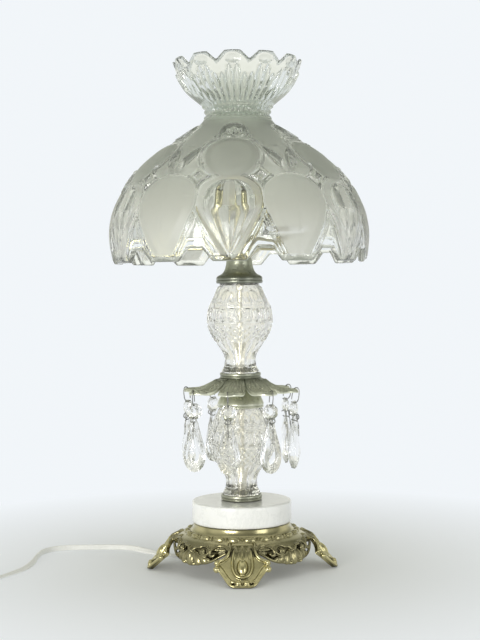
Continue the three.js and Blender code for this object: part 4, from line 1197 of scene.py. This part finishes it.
def foot_point(w, z, lift=0.0):
    """A point of a foot's face: w sideways, z up, lift out of the face."""
    w, z = np.asarray(w, float), np.asarray(z, float)
    rho = np.interp(z, FOOT_SIDE[:, 1], FOOT_SIDE[:, 0])
    dz = np.interp(z + 1.5, FOOT_SIDE[:, 1], FOOT_SIDE[:, 0]) - np.interp(z - 1.5, FOOT_SIDE[:, 1], FOOT_SIDE[:, 0])
    nr, nz = 3.0, -dz
    ln = np.hypot(nr, nz)
    bow = 6.2 * (w / 29.0) ** 2 * sm(z, -6, 14)
    return np.stack([rho - bow + nr / ln * lift, w, np.maximum(z + nz / ln * lift, 0.02)], axis=-1)


def skirt_r(z):
    return np.interp(z, [13.2, 16, 19.5, 24, 28.6, 31, 33, 34.7, 36.5], [69.8, 71.2, 71.7, 70.9, 69.4, 68.0, 66.0, 63.4, 59.0])


def build_base():
    H = Heap()
    # top plate with its hollow, polished collar
    outer = smooth_path([(5.05, 47.2), (30, 47.2), (48.4, 47.2), (49.1, 47.1), (49.4, 46.4), (49.7, 45.0), (50.2, 43.2), (50.9, 41.6), (51.9, 40.3), (53.2, 39.2), (55.0, 38.0), (57.6, 36.9), (60.4, 35.9), (63.4, 34.7), (65.8, 33.1),
                         (67.6, 31.4), (68.6, 29.9), (68.4, 29.2)], n=110)
    inner = [(66.0, 29.2), (65.0, 30.6), (63.0, 31.9), (60.2, 32.9), (56.0, 34.2), (51.2, 36.4), (48.4, 39.4), (47.2, 43.4), (45.5, 43.7), (5.05, 43.7)]
    H.lathe(np.vstack([outer, inner]), A=180)
    # eggs side by side, a thin reel between each two
    tilt = np.array([0.66, 0.75])
    for i in range(22):
        a = (i + 0.5) * 360 / 22
        tan = np.array([math.cos(a * RAD), math.sin(a * RAD), 0])
        nrm = at(1, a) * tilt[0] + np.array([0, 0, tilt[1]])
        slope = np.cross(nrm, tan)
        H.ball(at(55.2, a, 37.3) + nrm * 0.5, (6.2, 2.9, 3.0), (tan, slope, nrm), n=22, m=12)
        b = a + 180 / 22
        tb = np.array([math.cos(b * RAD), math.sin(b * RAD), 0])
        nb = at(1, b) * tilt[0] + np.array([0, 0, tilt[1]])
        H.ball(at(55.2, b, 37.3) + nb * 0.5, (1.05, 3.1, 2.4), (tb, np.cross(nb, tb), nb), n=12, m=8)
    # skirt plate, its lower edge rising to an arch beside each foot
    A = 720
    azs = np.arange(A) * 0.5
    off = np.abs(((azs + 45) % 90) - 45)                    # from the nearest foot
    low = np.interp(off, [0, 11, 13, 17, 21, 24, 27, 30, 34, 38, 41, 45], [27, 27.4, 27.0, 24.6, 21.6, 19.6, 18.2, 17.0, 16.2, 15.0, 14.0, 13.4])
    rows = []
    deep = lambda z: 7.5 * np.clip(1.35 - ((off - 18.5) / 6.4) ** 2 - ((z - 25.5) / 5.2) ** 2, 0, 1)
    for f in np.linspace(0, 1, 26):
        z = 34.5 + (low - 34.5) * f
        rows.append(polar(skirt_r(z) - 0.9 - deep(z), azs, z))
    for f in np.linspace(1, 0, 26):
        z = 34.5 + (low - 34.5) * f
        rows.append(polar(skirt_r(z) - 3.1 - deep(z), azs, z + 0.2))
    H.put(np.stack(rows), wrap_quads(len(rows), A))

    def sk(pairs, q, s_, r, taper=None, lift=0.5):
        P = smooth_path([(q + s_ * d, z) for d, z in pairs], step=0.8)
        path = polar(skirt_r(P[:, 1]) + lift, P[:, 0], P[:, 1])
        t = np.linspace(0, 1, len(path))
        H.tube(path, r * (taper(t) if taper else np.ones(len(path))), 12)

    def lobe(q, d, z, wide, tall, deep, lean=0.0, lift=-0.3):
        az = q + d
        tb = np.array([math.cos(az * RAD), math.sin(az * RAD), 0])
        n0 = at(1, az) * 0.96 + np.array([0, 0, 0.28])
        u0 = np.cross(n0, tb)
        ca, sa = math.cos(lean * RAD), math.sin(lean * RAD)
        H.ball(polar(skirt_r(z) + lift, az, z), (wide, tall, deep), (tb * ca + u0 * sa, u0 * ca - tb * sa, n0), n=20, m=12)

    shrink = lambda t: 1.0 - 0.42 * t
    leaf = lambda t: 0.35 + 0.95 * np.sin(math.pi * np.clip(t * 0.9 + 0.06, 0, 1)) ** 0.8
    for i in range(4):
        q = 45 + 90 * i
        # palmette of broad leaves
        lobe(q, 0, 21.0, 5.2, 8.2, 2.9)
        sk([(0, 28.5), (0, 22), (0, 15.5)], q, 1, 0.9, leaf, 2.0)
        for s_ in (-1, 1):
            lobe(q, s_ * 6.6, 21.0, 4.4, 7.6, 2.6, s_ * 26)
            lobe(q, s_ * 12.2, 21.2, 3.6, 6.0, 2.3, s_ * 50)
            # volute over the leaves
            cz, cd = 28.2, 12.8
            spiral = [(cd + rr * math.cos(t) * 1.2, cz + rr * math.sin(t)) for t, rr in zip(np.linspace(2.4, -5.4, 34), np.linspace(5.0, 1.3, 34))]
            sk([(2.0, 28.4), (4.4, 31.0)] + spiral, q, s_, 1.65, shrink, 1.2)
            H.ball(polar(skirt_r(cz) + 1.4, q + s_ * cd, cz), (1.9, 1.9, 1.9), n=14, m=9)
            # open scroll arching over the hollow beside the foot
            sk([(33.8, 31.2), (31.4, 33.2), (28.0, 34.0), (24.0, 33.6), (20.6, 31.6), (18.8, 28.4), (19.4, 25.4), (21.4, 24.6), (22.6, 26.2)], q, s_, 2.0, shrink, 1.3)
            lobe(q, s_ * 16.8, 20.8, 2.4, 4.2, 2.0, s_ * 70)
            # edge roll
            edge = [(d, float(np.interp(45 - d, off[:91], low[:91])) + 0.6) for d in (0, 2.5, 5, 7.5, 10, 12.5, 15, 17, 19, 21, 24, 28, 32)]
            sk(edge, q, s_, 1.45, None, 0.3)
            H.ball(polar(skirt_r(15.8) + 1.6, q + s_ * 5.4, 15.6), (3.4, 1.5, 1.6), n=14, m=9)
    # feet
    zs = np.concatenate([np.linspace(0.0, 3.0, 7)[:-1], np.linspace(3.0, 36.4, 64)])
    ww = np.linspace(-1, 1, 61)
    wide = smooth_path(FOOT_WIDE, n=200)
    hw = np.interp(zs, wide[:, 0], wide[:, 1])
    Wg, Zg = hw[:, None] * ww[None, :], np.repeat(zs[:, None], 61, 1)
    q = np.abs(Wg)
    relief = -0.9 + 0.9 * np.cos(Wg / 3.5 * math.pi) * sm(Zg, 23.5, 28) * (1 - sm(Zg, 33.6, 35.6)) * (q < 12.2)
    front = foot_point(Wg, Zg, relief)
    back = foot_point(Wg, Zg, -3.4 + 0 * relief)
    rows, cols = front.shape[:2]
    # closed slab: ring of columns front then back
    ring = np.concatenate([front, back[:, ::-1]], axis=1)
    nA = ring.shape[1]
    Q = wrap_quads(rows, nA, wrap_s=False)
    capQ = []
    for r0 in (0, rows - 1):
        for j in range(cols - 1):
            a0, a1 = r0 * nA + j, r0 * nA + j + 1
            b0, b1 = r0 * nA + nA - 1 - j, r0 * nA + nA - 2 - j
            capQ.append((a0, a1, b1, b0) if r0 else (b0, b1, a1, a0))
    slab_Q = np.vstack([Q, np.array(capQ)])
    for az in (0, 90, 180, 270):
        H.put(turn(ring, az), slab_Q)

        def ft(pairs, r, lift=0.6, taper=None, mirror=True):
            for s_ in ((-1, 1) if mirror else (1,)):
                P = smooth_path([(s_ * w, z) for w, z in pairs], step=0.7)
                path = turn(foot_point(P[:, 0], P[:, 1], lift), az)
                t = np.linspace(0, 1, len(path))
                H.tube(path, r * (taper(t) if taper else np.ones(len(path))), 12)

        # from the neck out over the shoulder, then back along the edge to the tip
        ft([(12.0, 35.0), (12.2, 31.4), (13.6, 27.6), (16.8, 24.4), (20.8, 22.4), (24.4, 21.2), (26.0, 19.6), (23.8, 18.0), (20.4, 15.4), (17.2, 11.6), (14.2, 8.0), (11.2, 5.6), (8.2, 5.0)], 1.6, 0.2)
        for s_ in (-1, 1):
            H.ball(turn(foot_point(s_ * 24.6, 20.2, 0.9), az), (2.6, 2.6, 2.6), n=16, m=11)
        # outer rim, under the volute's ball
        ft([(22.4, 14.2), (20.4, 12.0), (17.8, 9.2), (15.0, 5.8), (12.0, 2.6), (8.6, 1.3), (4.6, 1.2), (0, 1.2)], 1.5, 0.9)
        for s_ in (-1, 1):
            H.ball(turn(foot_point(s_ * 24.8, 14.6, 1.4), az), (3.3, 3.3, 3.3), n=18, m=12)
            H.ball(turn(foot_point(s_ * 3.9, 3.9, 1.0), az), (3.2, 3.0, 3.0), n=18, m=12)
        # U-shaped ridge round an egg-shaped boss
        ft([(8.0, 31.0), (8.9, 26.5), (9.6, 21.0), (9.2, 15.6), (6.4, 11.0), (2.6, 9.2), (0, 8.9)], 1.25, 0.0)
        c0, c1 = foot_point(0, 15.6, 0), foot_point(0, 21.0, 0)
        up_ = (c1 - c0) / np.linalg.norm(c1 - c0)
        n_ = np.cross(up_, np.array([0, 1.0, 0]))
        axes = (turn(np.array([0, 1.0, 0]), az), turn(up_, az), turn(n_, az))
        H.ball(turn(foot_point(0, 17.4, -0.8), az), (5.2, 8.4, 4.4), axes, n=26, m=18)
    o = H.object("footed_base")
    fuse(o, 0.58, relax=2)
    return dress(o, "lamp", "cast_brass", "base_casting")


build_base()


# ------------------------------------------------------------------ shade holder, socket, bulb
def bar(H, path, width, height, bow=0.8, az=0.0):
    """A flat bar of rounded section along a path in the (outwards, up) plane of an azimuth."""
    P = smooth_path(path, step=1.5)
    d = np.gradient(P, axis=0)
    d /= np.linalg.norm(d, axis=1, keepdims=True)
    n = np.stack([-d[:, 1], d[:, 0]], 1)
    a = (np.arange(20) + 0.5) * 2 * math.pi / 20
    cx = np.sign(np.cos(a)) * np.abs(np.cos(a)) ** 0.35 * width / 2
    cy = np.sign(np.sin(a)) * np.abs(np.sin(a)) ** 0.35 * height / 2
    ring = np.stack([P[:, None, 0] + n[:, None, 0] * cy[None, :], np.broadcast_to(cx[None, :], (len(P), 20)), P[:, None, 1] + n[:, None, 1] * cy[None, :]], axis=-1)
    V = np.vstack([ring.reshape(-1, 3), [[P[0, 0], 0, P[0, 1]]], [[P[-1, 0], 0, P[-1, 1]]]])
    S = len(P)
    k = np.arange(20)
    T = np.vstack([np.stack([np.full(20, S * 20), (k + 1) % 20, k], 1), np.stack([np.full(20, S * 20 + 1), (S - 1) * 20 + k, (S - 1) * 20 + (k + 1) % 20], 1)])
    H.put(turn(V, az), wrap_quads(S, 20, wrap_s=False), T)


def build_holder():
    H = Heap()
    prof = smooth_path([(5.1, 315.3), (11.6, 315.3), (12.6, 315.8), (13.6, 317), (15.6, 318.6), (18.6, 320.4), (20.8, 322.2), (21.7, 324.2), (21.9, 327), (21.9, 329.6), (21.2, 330.9), (19.6, 331.5),
                        (14, 332.3), (9, 332.5), (5.1, 332.5)], n=80)
    H.lathe(prof, A=120)
    for az in (20, 140, 260):
        bar(H, [(17, 327.1), (60, 327.2), (104, 327.4), (112.5, 327.7), (116.6, 328.6), (118.4, 330.4), (118.7, 332.1)], 3.2, 6.6, az=az)
        # tab across the tip that carries the shade's rib
        P = [(118.6 + dy, w, z) for w in (-6.2, 6.2) for dy in (-2.7, 2.7) for z in (330.2, 333.6)]
        tab = smooth_path([(-6.3, 0), (6.3, 0)], n=9)
        a = (np.arange(16) + 0.5) * 2 * math.pi / 16
        cx = np.sign(np.cos(a)) * np.abs(np.cos(a)) ** 0.4 * 2.7
        cz = np.sign(np.sin(a)) * np.abs(np.sin(a)) ** 0.4 * 1.7
        rings = np.stack([np.stack([118.6 + cx, np.full(16, w), 331.95 + cz], 1) for w, _ in tab])
        V = np.vstack([rings.reshape(-1, 3), [[118.6, -6.3, 331.95]], [[118.6, 6.3, 331.95]]])
        S = 9
        k = np.arange(16)
        T = np.vstack([np.stack([np.full(16, S * 16), (k + 1) % 16, k], 1), np.stack([np.full(16, S * 16 + 1), (S - 1) * 16 + k, (S - 1) * 16 + (k + 1) % 16], 1)])
        H.put(turn(V, az), wrap_quads(S, 16, wrap_s=False), T)
    o = H.object("shade_arms", sharp=45)
    fuse(o, 0.6)
    return dress(o, "lamp", "polished_brass", "shade_holder")


build_holder()


def cut(o, cutter):
    m = o.modifiers.new("cut", "BOOLEAN")
    m.operation, m.object, m.solver = "DIFFERENCE", cutter, "EXACT"
    dg = bpy.context.evaluated_depsgraph_get()
    me = bpy.data.meshes.new_from_object(o.evaluated_get(dg))
    o.modifiers.clear()
    old, o.data = o.data, me
    bpy.data.meshes.remove(old)
    bpy.data.objects.remove(cutter)
    return o


dress(lathe("socket_bottom_cap", smooth_path([(5.1, 332.8), (8, 332.8), (11.4, 333.6), (14.2, 335.6), (16.2, 338.4), (17.0, 341.4), (17.1, 343.4), (17.5, 344.2), (17.5, 345.4), (17.1, 346), (16.4, 346)], n=60).tolist()
            + [(16.2, 344), (15.6, 339.2), (12.6, 335.9), (8, 334.4), (5.1, 334.4)], A=120, sharp=50), "lamp", "polished_brass", "socket_cap")
shell = lathe("socket_outer_shell", smooth_path([(16.3, 346.4), (16.9, 346.3), (17.1, 347.2), (16.95, 349), (16.95, 353), (16.95, 361), (17.3, 362), (17.4, 363), (17.3, 364), (16.95, 365), (16.95, 375), (16.95, 379.6),
              (17.3, 380.6), (17.45, 381.6), (17.1, 382.4), (16.5, 382.4)], n=90).tolist() + [(16.3, 381), (16.3, 363), (16.3, 348)], A=120, sharp=50)
_c = Heap()
_c.tube([at(10, 110, 355), at(24, 110, 355)], 2.5, 20)
cut(shell, _c.object("knob_hole"))
shell.data.set_sharp_from_angle(angle=50 * RAD)
dress(shell, "lamp", "polished_brass", "socket_shell")


def spindle(name, profile, A=64, relief=None, sharp=None, frame_=None):
    """A turned solid whose profile starts and ends on the axis."""
    P = np.asarray(profile, float)
    body = P[1:-1]
    az = np.arange(A) * 360 / A
    R, Z = np.repeat(body[:, :1], A, 1), np.repeat(body[:, 1:], A, 1)
    if relief is not None:
        R = R + relief(az[None, :], R, Z)
    V = np.vstack([polar(R, az[None, :], Z).reshape(-1, 3), [[0, 0, P[0, 1]]], [[0, 0, P[-1, 1]]]])
    S, k = len(body), np.arange(A)
    T = np.vstack([np.stack([np.full(A, S * A), (k + 1) % A, k], 1), np.stack([np.full(A, S * A + 1), (S - 1) * A + k, (S - 1) * A + (k + 1) % A], 1)])
    if frame_ is not None:
        V = frame_(V)
    return make(name, V, wrap_quads(S, A, wrap_s=False), T, sharp=sharp)


def along_knob(V):
    """From the z axis to the switch's own axis."""
    out_ = at(1, 110)
    side_ = np.array([math.cos(110 * RAD), math.sin(110 * RAD), 0])
    return V[:, 2:3] * out_ + V[:, :1] * side_ + V[:, 1:2] * np.array([0, 0, 1.0]) + np.array([0, 0, 355])


kp = [(0, 7), (1.9, 7), (1.9, 19.0)] + smooth_path([(1.9, 19.2), (3.2, 19.5), (3.4, 20.4), (3.4, 21.8), (2.4, 22.8), (2.2, 24), (2.5, 25.2), (4.2, 26.4), (5.3, 28.2), (5.7, 31), (5.75, 34.2), (5.2, 36.4), (3.8, 37.7), (2, 38.1)], n=60).tolist() + [(0, 38.2)]
knob = spindle("turn_knob", kp, A=96, relief=lambda a, r, z: -0.28 * (0.5 + 0.5 * np.cos(a * 18 * RAD)) * sm(z, 27, 29) * (1 - sm(z, 35.5, 37)), sharp=50, frame_=along_knob)
dress(knob, "switch", "dark_plastic", "switch_knob")

bulb_out = smooth_path([(0, 441), (5, 440.6), (9.8, 439.6), (14.6, 437.2), (18.6, 433), (21.4, 427), (22.5, 419.6), (22.4, 414), (20.9, 406.8), (17.8, 400.6), (14.6, 395.4), (12.6, 390.6), (11.9, 386), (11.8, 381), (11.8, 375.2)], n=90)
bulb_in = smooth_path([(11.1, 375.2), (11.1, 386.2), (11.9, 391), (13.9, 395.8), (17.1, 401.2), (20.1, 407.2), (21.6, 414.2), (21.7, 419.4), (20.6, 426.6), (17.9, 432.4), (14.1, 436.4), (9.5, 438.8), (5, 439.8), (0, 440.2)], n=70)
dress(spindle("bulb_envelope", np.vstack([bulb_out, bulb_in]), A=96), "bulb", "bulb_glass", "bulb_glass")
cap_p = [(0, 364), (3.6, 364.1), (4.6, 364.8), (5.6, 366), (8.4, 367.2), (11.2, 368)] + [(12.3, z) for z in np.linspace(368.8, 382.4, 42)] + [(12.2, 383.4), (12.35, 384.4), (12.1, 384.6), (11.9, 383), (11.7, 370.2), (5, 368), (0, 367.6)]
thread = lambda a, r, z: np.where((r > 12.25) & (z < 382.5), 0.45 * np.cos(2 * math.pi * z / 3.63 - a * RAD) + 0.3, 0)
dress(spindle("bulb_screw_cap", cap_p, A=72, relief=thread, sharp=60), "bulb", "bulb_cap_metal", "bulb_cap")


def build_plug():
    ys = smooth_path([(-43.2, 3.0, 3.9), (-41.8, 4.3, 4.7), (-40.4, 3.5, 4.1), (-39.0, 4.6, 4.9), (-37.6, 4.2, 4.9), (-36.0, 6.2, 5.2), (-33.6, 8.6, 5.5), (-31.0, 9.4, 5.75), (-27.0, 9.3, 5.7),
                      (-24.4, 8.7, 5.1), (-22.0, 9.1, 5.4), (-19.6, 9.6, 5.75), (-18.2, 9.5, 5.7), (-17.4, 8.9, 5.2)], n=70)
    a = np.arange(40) * 2 * math.pi / 40
    rings = []
    for y, w, h in ys:
        e = 0.55
        rings.append(np.stack([-329 + np.sign(np.cos(a)) * np.abs(np.cos(a)) ** e * w, np.full(40, y), 6.0 + np.sign(np.sin(a)) * np.abs(np.sin(a)) ** e * h], 1))
    P = np.stack(rings)
    V = np.vstack([P.reshape(-1, 3), P[0].mean(0), P[-1].mean(0)])
    k, S = np.arange(40), len(P)
    T = np.vstack([np.stack([np.full(40, S * 40), (k + 1) % 40, k], 1), np.stack([np.full(40, S * 40 + 1), (S - 1) * 40 + k, (S - 1) * 40 + (k + 1) % 40], 1)])
    o = make("moulded_plug", V, wrap_quads(S, 40, wrap_s=False), T, sharp=50)
    dress(o, "lamp", "plug_plastic", "plug")
    bm = bmesh.new()
    for dx in (-6.35, 6.35):
        r = bmesh.ops.create_cube(bm, size=1.0, matrix=Matrix.Translation(((-329 + dx) * MM, -9.6 * MM, 6 * MM)) @ Matrix.Diagonal((1.5 * MM, 16.6 * MM, 6.3 * MM, 1)))
    bmesh.ops.bevel(bm, geom=bm.edges[:], offset=0.45 * MM, segments=3, affect="EDGES")
    me = bpy.data.meshes.new("plug_blades")
    bm.to_mesh(me)
    bm.free()
    b = bpy.data.objects.new("plug_blades", me)
    bpy.context.scene.collection.objects.link(b)
    dress(b, "lamp", "bulb_cap_metal")
    return o, b


plug, blades = build_plug()
